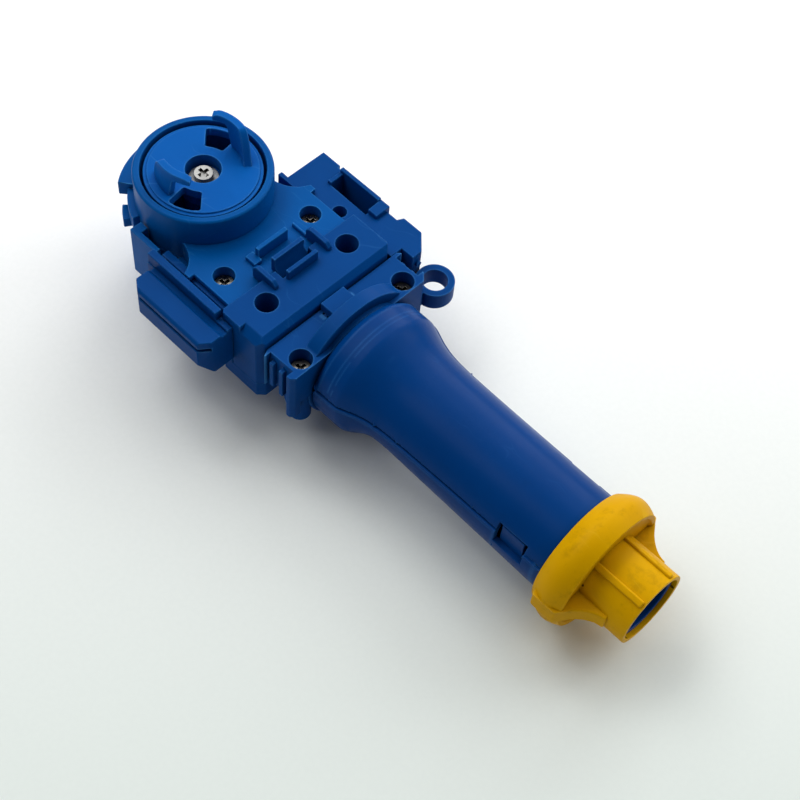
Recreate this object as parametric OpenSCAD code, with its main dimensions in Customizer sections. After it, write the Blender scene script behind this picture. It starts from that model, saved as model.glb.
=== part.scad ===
// Hand launcher for spinning tops. A launcher with a hooked rotor slides into the rails
// at the front of a grip, where a sprung latch holds it. The grip has a round handle with
// a twist cap at its end. Millimetres, +Z up, long axis along X. It lies on the table on
// the launcher's case and on the cap's rim, hooks up. X starts at the rotor's axis, and
// every sub-part is moved so that the middle of the whole length is at zero.

// Sub-part to draw, or all of them

/* [Grip axis] */
// Height of the handle's axis above the table, which is also the reach of the cap's rim
axis_z = 20.7; // [18:0.1:24]
// Half width over the outer pad and the lanyard eye
side_half = 37.9; // [34:0.1:42]

/* [Launcher case] */
// Outer radius of the cup and of the case below it
cup_r = 20.5; // [18:0.1:24]
// Thickness of the cup's wall and of the case's wall
case_wall = 2.2; // [1.6:0.1:3]
// Height of the lower case, up to its seam
lower_case_h = 28; // [24:0.1:32]
// Thickness of the cup's floor
cup_floor_t = 2; // [1.5:0.1:3]
// Height of the neck that slides between the grip's flanges
neck_h = 5.3; // [4:0.1:7]
// Thickness of the tail plate that covers the flanges
plate_t = 1.8; // [1.2:0.1:3]
// Height of the cup's rim over the tail plate
cup_rise = 9.8; // [6:0.1:14]
// Distance from the rotor's axis to the tail's end
tail_x = 37; // [32:0.1:42]
// Half width of the tail plate
plate_half = 22.6; // [21.9:0.1:23.4]
// Half width of the tail plate over its wing tips
wing_half = 24.5; // [23.6:0.1:25.6]
// Distance from the rotor's axis to the back of the wing tips
wing_x = 21.4; // [20:0.1:24]
// Radius of the hollow between the cup and a wing tip
scoop_r = 10.2; // [8:0.1:12]
// Radius over the upper fin
fin_r = 25.5; // [24:0.1:28]
// Radius over the lower fin
low_fin_r = 24.5; // [23:0.1:27]
// Distance from the rotor's axis to the case screws, along the length
case_screw_x = 27.4; // [25:0.1:29]
// Distance from the middle to a case screw, across
case_screw_y = 16.7; // [14:0.1:17]

/* [Rotor] */
// Radius of the rotor's disc
rotor_r = 17.4; // [15:0.1:20]
// Thickness of the rotor's disc
rotor_t = 3; // [2:0.1:4]
// Drop from the cup's rim to the rotor's face
rotor_drop = 0.5; // [0:0.1:2]
// Height of the hooks over the rotor's face
hook_h = 10.6; // [8:0.1:13]
// Inner radius of a hook
hook_r = 11.6; // [10:0.1:13]
// Thickness of a hook
hook_t = 2.4; // [1.6:0.1:3]
// Radius of the well round the rotor's screw
well_r = 5.3; // [4.8:0.1:6.5]

/* [Drive] */
// Radius of the drive stem in its bearing
stem_r = 3.5; // [3.2:0.05:4.2]
// Radius over the teeth of the drive gear
gear_r = 9.9; // [8:0.1:11]
// Height of the drive gear's teeth
gear_t = 8; // [6:0.1:10]
// Number of teeth on the drive gear
gear_teeth = 20; // [14:1:28]
// Width of the slot for the toothed rip strip
strip_slot = 4.6; // [4.4:0.1:5.5]

/* [Grip head] */
// Length of the head block
head_len = 16.2; // [14:0.1:20]
// Half width of the head block on the rail side
head_rail_half = 26.7; // [26:0.1:28.4]
// Half width of the head block on the socket side
head_socket_half = 24.4; // [23.8:0.1:26]
// Height of the head's top over the tail plate
head_rise = 2.8; // [1.5:0.1:4]
// Height of the seam between the head's halves
head_seam_z = 16.8; // [15:0.1:17]
// Height of the head's underside
head_base_z = 11; // [9:0.1:12]
// Thickness of the grip's moulded walls
wall = 2; // [1.5:0.1:2.4]
// Distance from the middle to a head screw, across
head_screw_y = 15.5; // [14:0.1:17]
// Radius of the head screws' deep holes
head_hole_r = 3.4; // [3.2:0.05:3.8]

/* [Latch] */
// Half width of the latch bars
latch_half = 5.7; // [4.5:0.1:6.5]
// Radius of the latch pin
pin_r = 1; // [0.8:0.05:1.2]
// Height of the latch pin over the launcher's seam
pin_rise = 3; // [2.6:0.1:3.4]
// Height of the bar on the launcher's tail
tail_bar_h = 4.4; // [3:0.1:5]
// Height of the latch bars over the head
bar_h = 3.4; // [2.5:0.1:4.5]
// Radius of the latch spring to the middle of its wire
spring_r = 1.9; // [1.7:0.05:2.1]
// Turns of the latch spring
spring_turns = 5; // [4:1:6]

/* [Side blocks] */
// Distance from the rotor's axis to the front ends of the blocks
block_front_x = 8.5; // [8:0.1:12]
// Height of the near block's rail over the launcher's seam
rail_h = 10; // [8:0.1:12]
// Thickness of the rail on the near block
rail_t = 2.5; // [2:0.1:3.2]
// Height of the near block's outer pad over the launcher's seam
pad_h = 7; // [6:0.1:8]
// Height of the slot along the outer pad
pad_slot_h = 1.4; // [1:0.1:2]
// Half width out to the edge of the socket plate
socket_half = 37.4; // [36:0.1:37.8]
// Length of the pocket in the socket plate
pocket_len = 14.8; // [10:0.1:16]
// Width of the pocket in the socket plate
pocket_w = 5; // [4.6:0.1:5.4]

/* [Collar] */
// Length of the collar
collar_len = 12.6; // [12:0.1:16]
// Half width of the collar
collar_half = 26.7; // [26:0.1:28]
// Height of the collar's flat top
collar_z = 34.5; // [33:0.1:36]
// Height of the collar's lowest skirt
skirt_z = 15; // [13:0.1:18]
// Radius of the ring band over the collar
band_r = 21.4; // [20.8:0.1:22.5]
// Distance from the middle to a collar screw, across
collar_screw_y = 19.8; // [19:0.1:20.4]
// Outer radius of the lanyard eye
eye_r = 5.9; // [5:0.1:6.5]
// Radius of the hole in the lanyard eye
eye_hole_r = 3.8; // [3:0.1:4.2]
// Thickness of the lanyard eye
eye_t = 6; // [4:0.1:7]

/* [Handle] */
// Visible length of the handle, from the collar to the cap
handle_len = 82.1; // [70:0.1:100]
// Radius of the handle's upper shell along the grip
grip_r = 15.7; // [15:0.1:16.2]
// Radius of the handle's upper shell at its flare
flare_r = 20.5; // [18:0.1:20.6]
// Radius of the lower shell where fingers close round it
waist_r = 14.9; // [14:0.1:15.6]
// Thickness of the handle's shells
shell_t = 1.8; // [1.4:0.1:2]
// Height of the seam between the shells over the handle's axis
seam_rise = 5.3; // [4:0.1:7]
// Outer radius of the tube inside the handle
core_r = 9.9; // [9:0.1:10.1]
// Thickness of that tube's wall
core_t = 1.8; // [1.2:0.1:2.5]

/* [Pommel cap] */
// Length of the cap's rim
rim_len = 10.7; // [9:0.1:13]
// Radius of the rim where it meets the handle
rim_back_r = 17.8; // [17.4:0.1:19]
// Length of the knob beyond the rim
knob_len = 15.5; // [12:0.1:20]
// Radius of the knob between its ridges
knob_r = 11.5; // [11.3:0.1:12.5]
// Number of places round the knob that carry a ridge or a wing
knob_places = 6; // [6:2:6]
// Thickness of the two wings
wing_t = 5.4; // [4:0.1:7]

/* [Screws] */
// Radius of the screw heads
screw_head_r = 2.9; // [2.6:0.05:3]
// Height of the screw heads
screw_head_h = 2; // [1.6:0.1:2.4]
// Radius of the screw shanks
shank_r = 1.4; // [1.2:0.05:1.5]

/* [Clearances] */
// Gap between pieces that slide past or stop short of each other
gap = 0.3; // [0.2:0.05:0.4]
// Radial gap of a turning shaft in its bearing
fit_gap = 0.05; // [0.03:0.01:0.08]

/* [Hidden] */
$fn = 64;
// Overrun of every cut past the face that it opens
over = 1;

// Heights of the launcher, built up from the table
neck_top_z = lower_case_h + neck_h;
plate_z = neck_top_z + plate_t;
cup_z = plate_z + cup_rise;
cup_floor_z = lower_case_h + cup_floor_t;
rotor_z = cup_z - rotor_drop;
disc_z = rotor_z - rotor_t;
head_z = plate_z + head_rise;
pin_z = lower_case_h + pin_rise;
flange_z = neck_top_z - gap;
rail_z = lower_case_h + rail_h;
pad_z = lower_case_h + pad_h;

// Places along the length
head_front_x = tail_x + gap;
head_rear_x = head_front_x + head_len;
collar_gap = 0.4;
collar_front_x = head_rear_x + collar_gap;
collar_rear_x = collar_front_x + collar_len;
flare_gap = 1;
handle_front_x = collar_rear_x + flare_gap;
cap_x = handle_front_x + handle_len;
lip_x = cap_x + rim_len;
knob_end_x = lip_x + knob_len;
centre_x = (knob_end_x - fin_r) / 2;

// Launcher's neck and its hold between the grip's flanges
neck_side = 1.7;
neck_half = plate_half - neck_side;
flange_half = neck_half + gap;
tongue_half = plate_half - gap;
tongue_t = 3.7;
tongue_z = lower_case_h - gap;
tail_t = 4;
tail_floor_z = lower_case_h - tail_t;
scoop_x = 9.5;
scoop_y = cup_r + 7.3 * scoop_r / 10.2;

// Fins, ledge and hanger lug round the case
fin_from = 94;
fin_to = 222;
fin_t = 5.1;
ledge_r = 22.6;
ledge_to = 252;
low_fin_from = 226;
low_fin_to = 240;
low_fin_drop = 0.4;
lug_x = -4;
lug_len = 11.5;
lug_arm_t = 3.2;
lug_out = 4.5;
lug_tab_t = 1.8;
lug_base_z = 15;
lug_top_z = plate_z - 1.1 * gap / 0.3;

// Case screws in the launcher's tail
case_hole_r = 3.2;
screw_seat_t = 1.5;
case_seat_z = lower_case_h + screw_seat_t;
hole_clear = 0.2;
case_boss_r = 4.2;
case_boss_h = 8;
shank_end = 1.2;

// Latch on the launcher's tail
tail_bar_x = 28.3;
tail_bar_t = 1.5;
guide_x = 27;
guide_h = 1.4;
guide_block_len = 4.2;
guide_block_y = 5.6;
guide_block_w = 2.8;
guide_rib_y = 9.6;
guide_rib_len = 5.8;
guide_rib_t = 0.8;
channel_half = latch_half + 2 * gap;
channel_len = 5.4;
catch_len = 2.2;
catch_h = 0.9;
catch_x = tail_x - catch_len;

// Drive gear, its pivot and its bearings
floor_t = 1.8;
pivot_r = 2.5;
pivot_boss_r = 5;
pivot_boss_h = 4.2;
pivot_base_z = floor_t + 2 * gap;
gear_hub_r = 5;
gear_z = 10;
tooth_h = 1.9;
tooth_foot_share = 0.32;
tooth_tip_share = 0.14;
bearing_r = 6;
bearing_base_z = gear_z + gear_t + gap;
bearing_h = 6;
bearing_top_z = cup_floor_z + bearing_h;
strip_x = -gear_r - strip_slot;
strip_slot_play = 0.5;
stem_tip_r = 3;

// Rotor's well, windows, hub and screw
rotor_base_z = bearing_top_z + gap;
rotor_hub_r = 7;
well_depth = 4.4;
well_z = rotor_z - well_depth;
stem_top_z = well_z - gap;
window_in_r = 8.6;
window_out_r = 15.6;
window_from = -81;
window_to = -44;
rim_groove_r = 16.4;
rim_groove_t = 0.5;
washer_r = 4.5;
washer_t = 0.9;
rotor_head_r = 2.8;
rotor_head_h = 1.9;
rotor_shank_r = 1.45;
rotor_shank_len = 10;
recess_w = 1;
recess_r = 1.8;
recess_depth = 1;

// One hook as angles from the rotor's +X: foot, full height, web's end, tip
hook_foot = 45;
hook_full = 78;
hook_web_end = 92;
hook_free = 104;
hook_tip = 125;
hook_arm_t = 2.6;
hook_rings = 24;
hook_root = 1;
hook_nose = 0.9;

// Head's shell, bosses and spigot
head_wall_z = head_z - wall;
head_boss_r = 4.9;
head_seat_t = 2.5;
head_screw_in = 6.6;
head_screw_x = head_front_x + head_screw_in;
head_screw_len = 6;
low_boss_r = 4.2;
spigot_r = 12.6;
spigot_bore_r = core_r + gap;
spigot_flange_r = 14.4;
spigot_len = 3.5;
spigot_flange_len = 1.4;
head_corner = 2;
head_bevel = 1.8;
facet_x = 45.2;
facet_len = 7.8;
facet_depth = 2.4;

// Latch lever, its slot and its bracket
pin_x = head_front_x + 1.7;
lever_hub_r = 2;
lever_slot_x = pin_x + 1.6;
bar_t = 1.5;
bar_x = tail_x - 2;
bar_z = head_z + bar_h;
arm_front_x = tail_x + 0.4 * gap / 0.3;
arm_t = 1.5;
arm_low_z = pin_z - 1.7;
dog_x = 33;
dog_t = 1.2;
dog_depth = 1.3;
front_arm_t = 1.7;
rear_arm_x = pin_x + 5.6;
rear_arm_z = pin_z - 1.2;
rear_arm_t = 2;
stop_bar_x = lever_slot_x + 0.4;
stop_bar_t = 1.4;
web_t = 2;
web_x = pin_x + 2;
web_base_z = pin_z - 2;
rib_t = 1.6;
rib_y = 9.4;
rib_front_x = tail_x - 4;
rib_rear_x = 42.4;
rib_h = 2.6;
rib_nose = 1.4;

// Latch spring between its post and the lever
spring_x = pin_x + 4.3;
spring_wire_r = 0.3;
spring_drop = 7;
spring_seat_z = pin_z - spring_drop;
spring_top_z = rear_arm_z;
spring_rings = 8;
spring_sides = 6;
spring_post_r = 2.6;
spring_nub_r = 1.2;
spring_nub_h = 1.6;

// Near block: groove, rail, pad and its hooked tenon
block_h = 8;
belly_h = 4.5;
plate_edge_h = 5.5;
pocket_floor_h = 2;
block_base_z = lower_case_h - block_h;
groove_in = 2.5;
rail_in_y = head_rail_half - 0.5;
groove_z = lower_case_h + 1;
rail_out_y = rail_in_y + rail_t;
rail_end_x = head_front_x;
valley_w = 1.7;
valley_z = pad_z - 1;
pad_y = rail_out_y + valley_w;
pad_front_x = block_front_x + 2.9;
pad_rear_x = head_front_x + 5.1;
pad_corner = 3.4;
pad_corner_y = 2.5;
pad_edge = 0.8;
pad_t = 2.6;
slot_depth = 3.5;
belly_z = block_base_z + belly_h;
belly_in = 4.2;
side_play = 0.4;
tenon_x = head_front_x + 2.2;
tenon_t = 2;
tenon_hook = 2.4;
tenon_hook_t = 1.7;
tenon_base_z = head_seam_z + 3.2;
tenon_over = 3;
tenon_top_z = lower_case_h + tenon_over;

// Socket plate: outline, pocket, hole and nub
plate_front_x = block_front_x + 2.7;
flange_step = 1.6;
notch_x = 18.6;
notch_len = 2.4;
notch_depth = 1;
block_corner = 2.3;
waist_x = 44.6;
waist_depth = 2;
plate_rear_x = head_rear_x + 4.3;
plate_bevel = 5;
plate_tail_y = 28.8;
plate_edge_z = block_base_z + plate_edge_h;
plate_belly_in = 3.9;
pocket_x = 22.2;
pocket_y = 30;
pocket_floor_z = block_base_z + pocket_floor_h;
pocket_wall = 1.4;
pocket_wall_h = 2.2;
pocket_end = 1.5;
pocket_block_len = 3.6;
pocket_block_h = 1.6;
plain_hole_x = 31.2;
plain_hole_y = 24.9;
plain_hole_r = 2.2;
plain_hole_depth = 5;
nub_r = 0.9;
nub_len = 0.9;
nub_drop = 4;

// Collar: groove and bore sizes, recess and screws
collar_bore_r = spigot_r + gap;
collar_web_x = collar_front_x + 3.4;
handle_lip_x = collar_front_x + 5.1;
handle_lip_len = 2;
handle_lip_r = 15.3;
handle_neck_r = 13.6;
collar_screw_in = 8.6;
collar_screw_x = collar_front_x + collar_screw_in;
collar_hole_r = 3.35;
collar_seat_drop = 6.5;
collar_seat_z = collar_z - collar_seat_drop;
collar_boss_r = 3.2;
collar_boss_base_z = 8;
collar_thread = 8;
low_ring_r = 20.2;
skirt_in_y = 23.3;
recess_in_y = 24.4;
recess_front = 1.3;
recess_rear = 2.6;
column_x = 2.4;
column_t = 1.5;
column_out = 1.6;
column_gap = 2.3;
column_low_z = 21.5;
skirt_step_z = 20.7;
skirt_step_x = 5.4;
collar_corner = 2.4;
band_x = collar_front_x + 6.6;
band_len = 4.5;
seat_r = 18;
key_half = 4.4;
key_h = 3;
key_len = 6.8;
eye_x = 64.4;
eye_z = 20;
eye_y = side_half - eye_r;

// Handle: shell curves, neck, clips and rear bearing
flare_len = 6.5;
flare_fall = 22;
flare_power_share = 1.2;
waist_x0 = 92;
waist_rise_share = 0.018;
knuckle_x = 75.5;
knuckle_r = 2.9;
knuckle_len = 5;
shell_steps = 22;
handle_neck_t = 2;
clip_x = 134;
clip_len = 8;
clip_play = 1;
clip_t = 1.6;
clip_inset = 1;
clip_y = lower_r(clip_x) - clip_inset;
clip_low = 4.2;
clip_high = 2;
tail_neck_r = 15.4;
tail_neck_len = 8.4;
shell_end_x = cap_x - gap;
lug_ring_r = 16.4;
lug_ring_x = cap_x + 4.6;
lug_ring_len = 1.8;
lug_half_angle = 14;
groove_play_angle = 2;
twist_angle = 45;

// Tube inside the handle
core_front_x = head_rear_x - wall - 2.5;
core_flange_r = 12.4;
core_flange_t = 2.2;
core_rear_gap = 1.3;

// Cap: rim curve, face, knob, ridges and wings
cap_bore_r = tail_neck_r + gap;
cap_groove_r = lug_ring_r + gap;
cap_wall = 1.1;
lip_r = 19.2;
lip_in_r = 17.9;
face_depth = 0.8;
rim_steps = 12;
rim_peak_share = 0.55;
ridge_w = 2;
ridge_h = 0.8;
ridge_short = 0.6;
wing_end_x = 9.5;
wing_steps = 8;
wing_drop = 1.4;
pad_start = 1;
pad_slope = 1.2;

// Shapes shared by the sub-parts

// Colours and moves a sub-part so that the whole is centred
module placed(tint) {
    color(tint) translate([-centre_x, 0, 0]) children();
}

// A block between two corners
module block(x0, x1, y0, y1, z0, z1) {
    translate([x0, y0, z0]) cube([x1 - x0, y1 - y0, z1 - z0]);
}

// An upright round post
module post(x, y, r, z0, z1) {
    translate([x, y, z0]) cylinder(h = z1 - z0, r = r);
}

// A round bar along the handle's axis
module barrel(r, x0, x1) {
    translate([x0, 0, axis_z]) rotate([0, 90, 0]) cylinder(h = x1 - x0, r = r);
}

// A round bar along the latch pin's axis
module crossbar(r, half) {
    translate([pin_x, -half, pin_z]) rotate([-90, 0, 0]) cylinder(h = 2 * half, r = r);
}

// Part of a ring round the rotor's axis
module sector(r0, r1, z0, z1, from, to) {
    rotate([0, 0, from])
        rotate_extrude(angle = to - from) translate([r0, z0]) square([r1 - r0, z1 - z0]);
}

// An outline in plan, raised between two heights
module slab(z0, z1) {
    translate([0, 0, z0]) linear_extrude(z1 - z0) children();
}

// A side view in X and Z, drawn out across the object
module across(y0, y1) {
    translate([0, y1, 0]) rotate([90, 0, 0]) linear_extrude(y1 - y0) children();
}

// A front view in Y and Z, drawn out along the object
module along(x0, x1) {
    translate([x0, 0, 0]) rotate([90, 0, 90]) linear_extrude(x1 - x0) children();
}

// A profile of X against radius, spun round the handle's axis
module spun() {
    translate([0, 0, axis_z]) rotate([0, 90, 0])
        rotate_extrude() rotate([0, 0, 90]) mirror([0, 1, 0]) children();
}

// The shape and its mirror image across the middle
module both_sides() {
    children();
    mirror([0, 1, 0]) children();
}

// A screw with its head on a seat and its shank below
module screw(x, y, seat_z, length) {
    translate([x, y, seat_z]) difference() {
        union() {
            cylinder(h = screw_head_h, r = screw_head_r);
            translate([0, 0, -length]) cylinder(h = length, r = shank_r);
        }
        translate([0, 0, screw_head_h]) cross_recess();
    }
}

// The cross in a screw's head, cut down from its top
module cross_recess() {
    for (turn = [0, 90])
        rotate([0, 0, turn]) translate([-recess_r, -recess_w / 2, -recess_depth])
            cube([2 * recess_r, recess_w, recess_depth + over]);
}

// Plan of the tail plate, with the wing tips and the hollows beside the cup
module tail_outline(half) {
    difference() {
        union() {
            translate([scoop_x, -half]) square([tail_x - scoop_x, 2 * half]);
            translate([scoop_x, -half - wing_half + plate_half])
                square([wing_x - scoop_x, 2 * (half + wing_half - plate_half)]);
        }
        for (side = [-1, 1]) translate([scoop_x, side * scoop_y]) circle(r = scoop_r);
    }
}

// Launcher

module launcher_upper_case() {
    placed("#0069b4") difference() {
        union() {
            post(0, 0, cup_r, lower_case_h, cup_z);
            slab(neck_top_z, plate_z) tail_outline(plate_half);
            slab(lower_case_h, neck_top_z) difference() {
                translate([scoop_x, -neck_half]) square([tail_x - scoop_x, 2 * neck_half]);
                for (side = [-1, 1]) translate([scoop_x, side * scoop_y]) circle(r = scoop_r);
            }
            sector(cup_r - case_wall, fin_r, plate_z - fin_t, plate_z, fin_from, fin_to);
            sector(cup_r - case_wall, ledge_r, lower_case_h, neck_top_z, fin_to, ledge_to);
            post(0, 0, bearing_r, bearing_base_z, lower_case_h + over);
            latch_marks();
        }
        cup_hollow();
        post(0, 0, stem_r + fit_gap, bearing_base_z - over, cup_z);
        for (side = [-1, 1]) {
            post(case_screw_x, side * case_screw_y, case_hole_r, case_seat_z, plate_z + over);
            post(case_screw_x, side * case_screw_y, shank_r + hole_clear,
                lower_case_h - over, case_seat_z + over);
        }
        block(tail_x - channel_len, tail_x + over, -channel_half, channel_half,
            lower_case_h - over, neck_top_z);
    }
}

// The cup's inside, left with the bearing standing in it
module cup_hollow() {
    difference() {
        post(0, 0, cup_r - case_wall, cup_floor_z, cup_z + over);
        post(0, 0, bearing_r, cup_floor_z - over, bearing_top_z);
    }
}

// The finger bar and the two guides on the tail plate
module latch_marks() {
    block(tail_bar_x, tail_bar_x + tail_bar_t, -latch_half, latch_half,
        neck_top_z, plate_z + tail_bar_h);
    block(guide_x, guide_x + guide_block_len, -guide_block_y - guide_block_w,
        -guide_block_y, neck_top_z, plate_z + guide_h);
    block(guide_x, guide_x + guide_rib_len, guide_rib_y, guide_rib_y + guide_rib_t,
        neck_top_z, plate_z + guide_h);
}

module launcher_lower_case() {
    placed("#0069b4") {
        difference() {
            union() {
                post(0, 0, cup_r, 0, lower_case_h);
                tail_tongue();
                hanger_lug();
                sector(cup_r - case_wall / 2, low_fin_r, tail_floor_z,
                    lower_case_h - low_fin_drop, low_fin_from, low_fin_to);
            }
            case_hollow();
            for (side = [-1, 1])
                post(case_screw_x, side * case_screw_y, shank_r,
                    lower_case_h - case_boss_h, lower_case_h + over);
        }
        difference() {
            post(0, 0, pivot_boss_r, floor_t / 2, floor_t + pivot_boss_h);
            post(0, 0, pivot_r + fit_gap, floor_t, floor_t + pivot_boss_h + over);
        }
    }
}

// The tail with its side tongues, screw bosses and the catch for the latch's dog
module tail_tongue() {
    block(scoop_x, tail_x, -neck_half, neck_half, tail_floor_z, lower_case_h);
    block(cup_r, tail_x, -tongue_half, tongue_half, tongue_z - tongue_t, tongue_z);
    block(catch_x, tail_x, -channel_half + gap, channel_half - gap,
        lower_case_h - over, lower_case_h + catch_h);
    for (side = [-1, 1])
        post(case_screw_x, side * case_screw_y, case_boss_r,
            lower_case_h - case_boss_h - shank_end, lower_case_h);
}

// The arm and the tab beside the case, clear of the cup above the seam
module hanger_lug() {
    tab_y = -cup_r - lug_out;
    block(lug_x, lug_x + lug_arm_t, tab_y, -cup_r + case_wall, lug_base_z, tongue_z);
    block(lug_x, lug_x + lug_arm_t, tab_y, -cup_r - gap, lug_base_z, lug_top_z);
    block(lug_x, lug_x + lug_len, tab_y, tab_y + lug_tab_t, lug_base_z, lug_top_z);
}

// The gear's chamber, flat along the strip, and the strip's slot through both walls
module case_hollow() {
    intersection() {
        post(0, 0, cup_r - case_wall, floor_t, lower_case_h + over);
        block(strip_x, cup_r, -cup_r, cup_r, 0, lower_case_h + over);
    }
    block(strip_x, -gear_r, -cup_r - over, cup_r + over,
        gear_z - strip_slot_play, gear_z + gear_t + strip_slot_play);
}

module launcher_screws() {
    placed("#b9bcc0") for (side = [-1, 1])
        screw(case_screw_x, side * case_screw_y, case_seat_z, case_boss_h);
}

module rotor() {
    placed("#1c6cbe") union() {
        difference() {
            union() {
                post(0, 0, rotor_r, disc_z, rotor_z);
                post(0, 0, rotor_hub_r, rotor_base_z, rotor_z);
            }
            post(0, 0, well_r, well_z, rotor_z + over);
            post(0, 0, stem_tip_r, rotor_base_z - over, rotor_z);
            for (turn = [0, 180])
                sector(window_in_r, window_out_r, disc_z - over, rotor_z + over,
                    window_from + turn, window_to + turn);
            rim_groove();
        }
        for (turn = [0, 180]) rotate([0, 0, turn]) hook();
    }
}

// The shallow step round the disc's edge
module rim_groove() {
    difference() {
        post(0, 0, rotor_r + over, rotor_z - rim_groove_t, rotor_z + over);
        post(0, 0, rim_groove_r, rotor_z - rim_groove_t - over, rotor_z + over);
    }
}

// Eased step from 0 to 1
function eased(t) = let (u = min(1, max(0, t))) u * u * (3 - 2 * u);

// Top and underside of a hook at an angle
function hook_top(a) = rotor_z - hook_root
    + (hook_h + hook_root) * eased((a - hook_foot) / (hook_full - hook_foot))
    - hook_nose * eased((a - hook_tip + 9) / 9);
function hook_under(a) = rotor_z - hook_root
    + (hook_h + hook_root - hook_arm_t)
        * eased((a - hook_web_end) / (hook_free - hook_web_end));

// A curved web that rises from the disc and reaches out over the window
module hook() {
    steps = hook_rings;
    angles = [for (i = [0 : steps]) hook_foot + (hook_tip - hook_foot) * i / steps];
    points = [for (a = angles)
        for (corner = [
            [hook_r, hook_under(a)],
            [hook_r + hook_t, hook_under(a)],
            [hook_r + hook_t, max(hook_top(a), hook_under(a) + hook_root / 2)],
            [hook_r, max(hook_top(a), hook_under(a) + hook_root / 2)]])
            [corner[0] * cos(a), corner[0] * sin(a), corner[1]]];
    sides = [for (i = [0 : steps - 1]) for (k = [0 : 3])
        let (n = (k + 1) % 4, a = 4 * i + k, b = 4 * i + n)
        for (f = [[a, b, b + 4], [a, b + 4, a + 4]]) f];
    ends = [[3, 2, 1], [3, 1, 0],
        [4 * steps, 4 * steps + 1, 4 * steps + 2], [4 * steps, 4 * steps + 2, 4 * steps + 3]];
    polyhedron(points, concat(sides, ends));
}

module rotor_washer() {
    placed("#c8cacc") difference() {
        post(0, 0, washer_r, well_z, well_z + washer_t);
        post(0, 0, rotor_shank_r + hole_clear, well_z - over, well_z + washer_t + over);
    }
}

module rotor_screw() {
    seat_z = well_z + washer_t;
    placed("#d4d6d8") difference() {
        union() {
            post(0, 0, rotor_head_r, seat_z, seat_z + rotor_head_h);
            post(0, 0, rotor_shank_r, seat_z - rotor_shank_len, seat_z);
        }
        translate([0, 0, seat_z + rotor_head_h]) cross_recess();
    }
}

// Plan of the gear: each tooth is a trapezium on its share of the circle
module gear_outline() {
    pitch = 360 / gear_teeth;
    polygon([for (i = [0 : gear_teeth - 1])
        for (corner = [
            [gear_r - tooth_h, -tooth_foot_share],
            [gear_r, -tooth_tip_share],
            [gear_r, tooth_tip_share],
            [gear_r - tooth_h, tooth_foot_share]])
            let (a = pitch * (i + corner[1]))
            corner[0] * [cos(a), sin(a)]]);
}

module drive_gear() {
    placed("#e6e2d6") difference() {
        union() {
            slab(gear_z, gear_z + gear_t) gear_outline();
            post(0, 0, pivot_r, pivot_base_z, gear_z);
            post(0, 0, gear_hub_r, floor_t + pivot_boss_h + gap, gear_z + gear_t / 2);
            post(0, 0, stem_r, gear_z, rotor_base_z);
            post(0, 0, stem_tip_r, gear_z, stem_top_z);
        }
        post(0, 0, rotor_shank_r, well_z + washer_t - rotor_shank_len, stem_top_z + over);
    }
}

// Grip head

// Plan of the head block, with its cut corners
module head_outline(inset) {
    x0 = head_front_x + inset;
    x1 = head_rear_x - inset;
    y0 = -head_rail_half + inset;
    y1 = head_socket_half - inset;
    polygon([[x0, y0 + head_corner / 2], [x0 + head_corner / 2, y0],
        [x1 - head_corner, y0], [x1, y0 + head_corner],
        [x1, y1 - head_corner], [x1 - head_corner, y1], [x0, y1]]);
}

// The rear spigot that the collar clamps, with room for the tube
module head_spigot() {
    flange_x = head_rear_x + spigot_len - spigot_flange_len;
    barrel(spigot_r, head_rear_x - wall, head_rear_x + spigot_len);
    barrel(spigot_flange_r, flange_x, head_rear_x + spigot_len);
}

// The slot in a side wall that takes a block's tenon, open to below
module tenon_slot(side, wall_y) {
    low = min(side * wall_y, side * (wall_y - wall - over));
    block(tenon_x - gap, tenon_x + tenon_t + gap, low - over, low + wall + 2 * over,
        head_seam_z - over, tenon_top_z);
}

module head_upper() {
    placed("#145a9e") difference() {
        union() {
            difference() {
                intersection() {
                    slab(head_seam_z, head_z) head_outline(0);
                    across(-head_rail_half - over, head_socket_half + over) polygon([
                        [head_front_x, head_seam_z], [head_front_x, head_z],
                        [head_rear_x - head_bevel, head_z],
                        [head_rear_x, head_z - head_bevel], [head_rear_x, head_seam_z]]);
                }
                slab(head_seam_z - over, head_wall_z) head_outline(wall);
                rail_facet();
            }
            intersection() {
                head_spigot();
                block(head_rear_x - wall, collar_rear_x, -head_rail_half, head_rail_half,
                    head_seam_z, head_z);
            }
            for (side = [-1, 1])
                post(head_screw_x, side * head_screw_y, head_boss_r, head_seam_z, head_z);
            latch_bracket();
            stop_bar();
            finger_ribs();
        }
        barrel(spigot_bore_r, head_rear_x - wall - over, head_rear_x + spigot_len + over);
        for (side = [-1, 1]) {
            post(head_screw_x, side * head_screw_y, head_hole_r,
                head_seam_z + head_seat_t, head_z + over);
            post(head_screw_x, side * head_screw_y, shank_r + hole_clear,
                head_seam_z - over, head_seam_z + head_seat_t + over);
        }
        latch_slot();
        crossbar(pin_r, channel_half + web_t);
        tenon_slot(-1, head_rail_half);
        tenon_slot(1, head_socket_half);
    }
}

// The flat cut along the top edge beside the rail
module rail_facet() {
    along(facet_x, facet_x + facet_len + over) polygon([
        [-head_rail_half - over, head_z + over],
        [-head_rail_half - over, head_z - facet_depth - over],
        [-head_rail_half + facet_depth + over, head_z + over]]);
}

// The opening that the lever stands in, from the front wall up through the top
module latch_slot() {
    block(head_front_x - over, head_front_x + wall + over, -channel_half, channel_half,
        arm_low_z - gap, head_z + over);
    block(head_front_x - over, lever_slot_x, -channel_half, channel_half,
        head_wall_z - over, head_z + over);
}

// Two webs that hang from the head's top and carry the latch pin
module latch_bracket() {
    both_sides()
        block(head_front_x, web_x, channel_half, channel_half + web_t,
            web_base_z, head_z - wall / 2);
}

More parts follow.
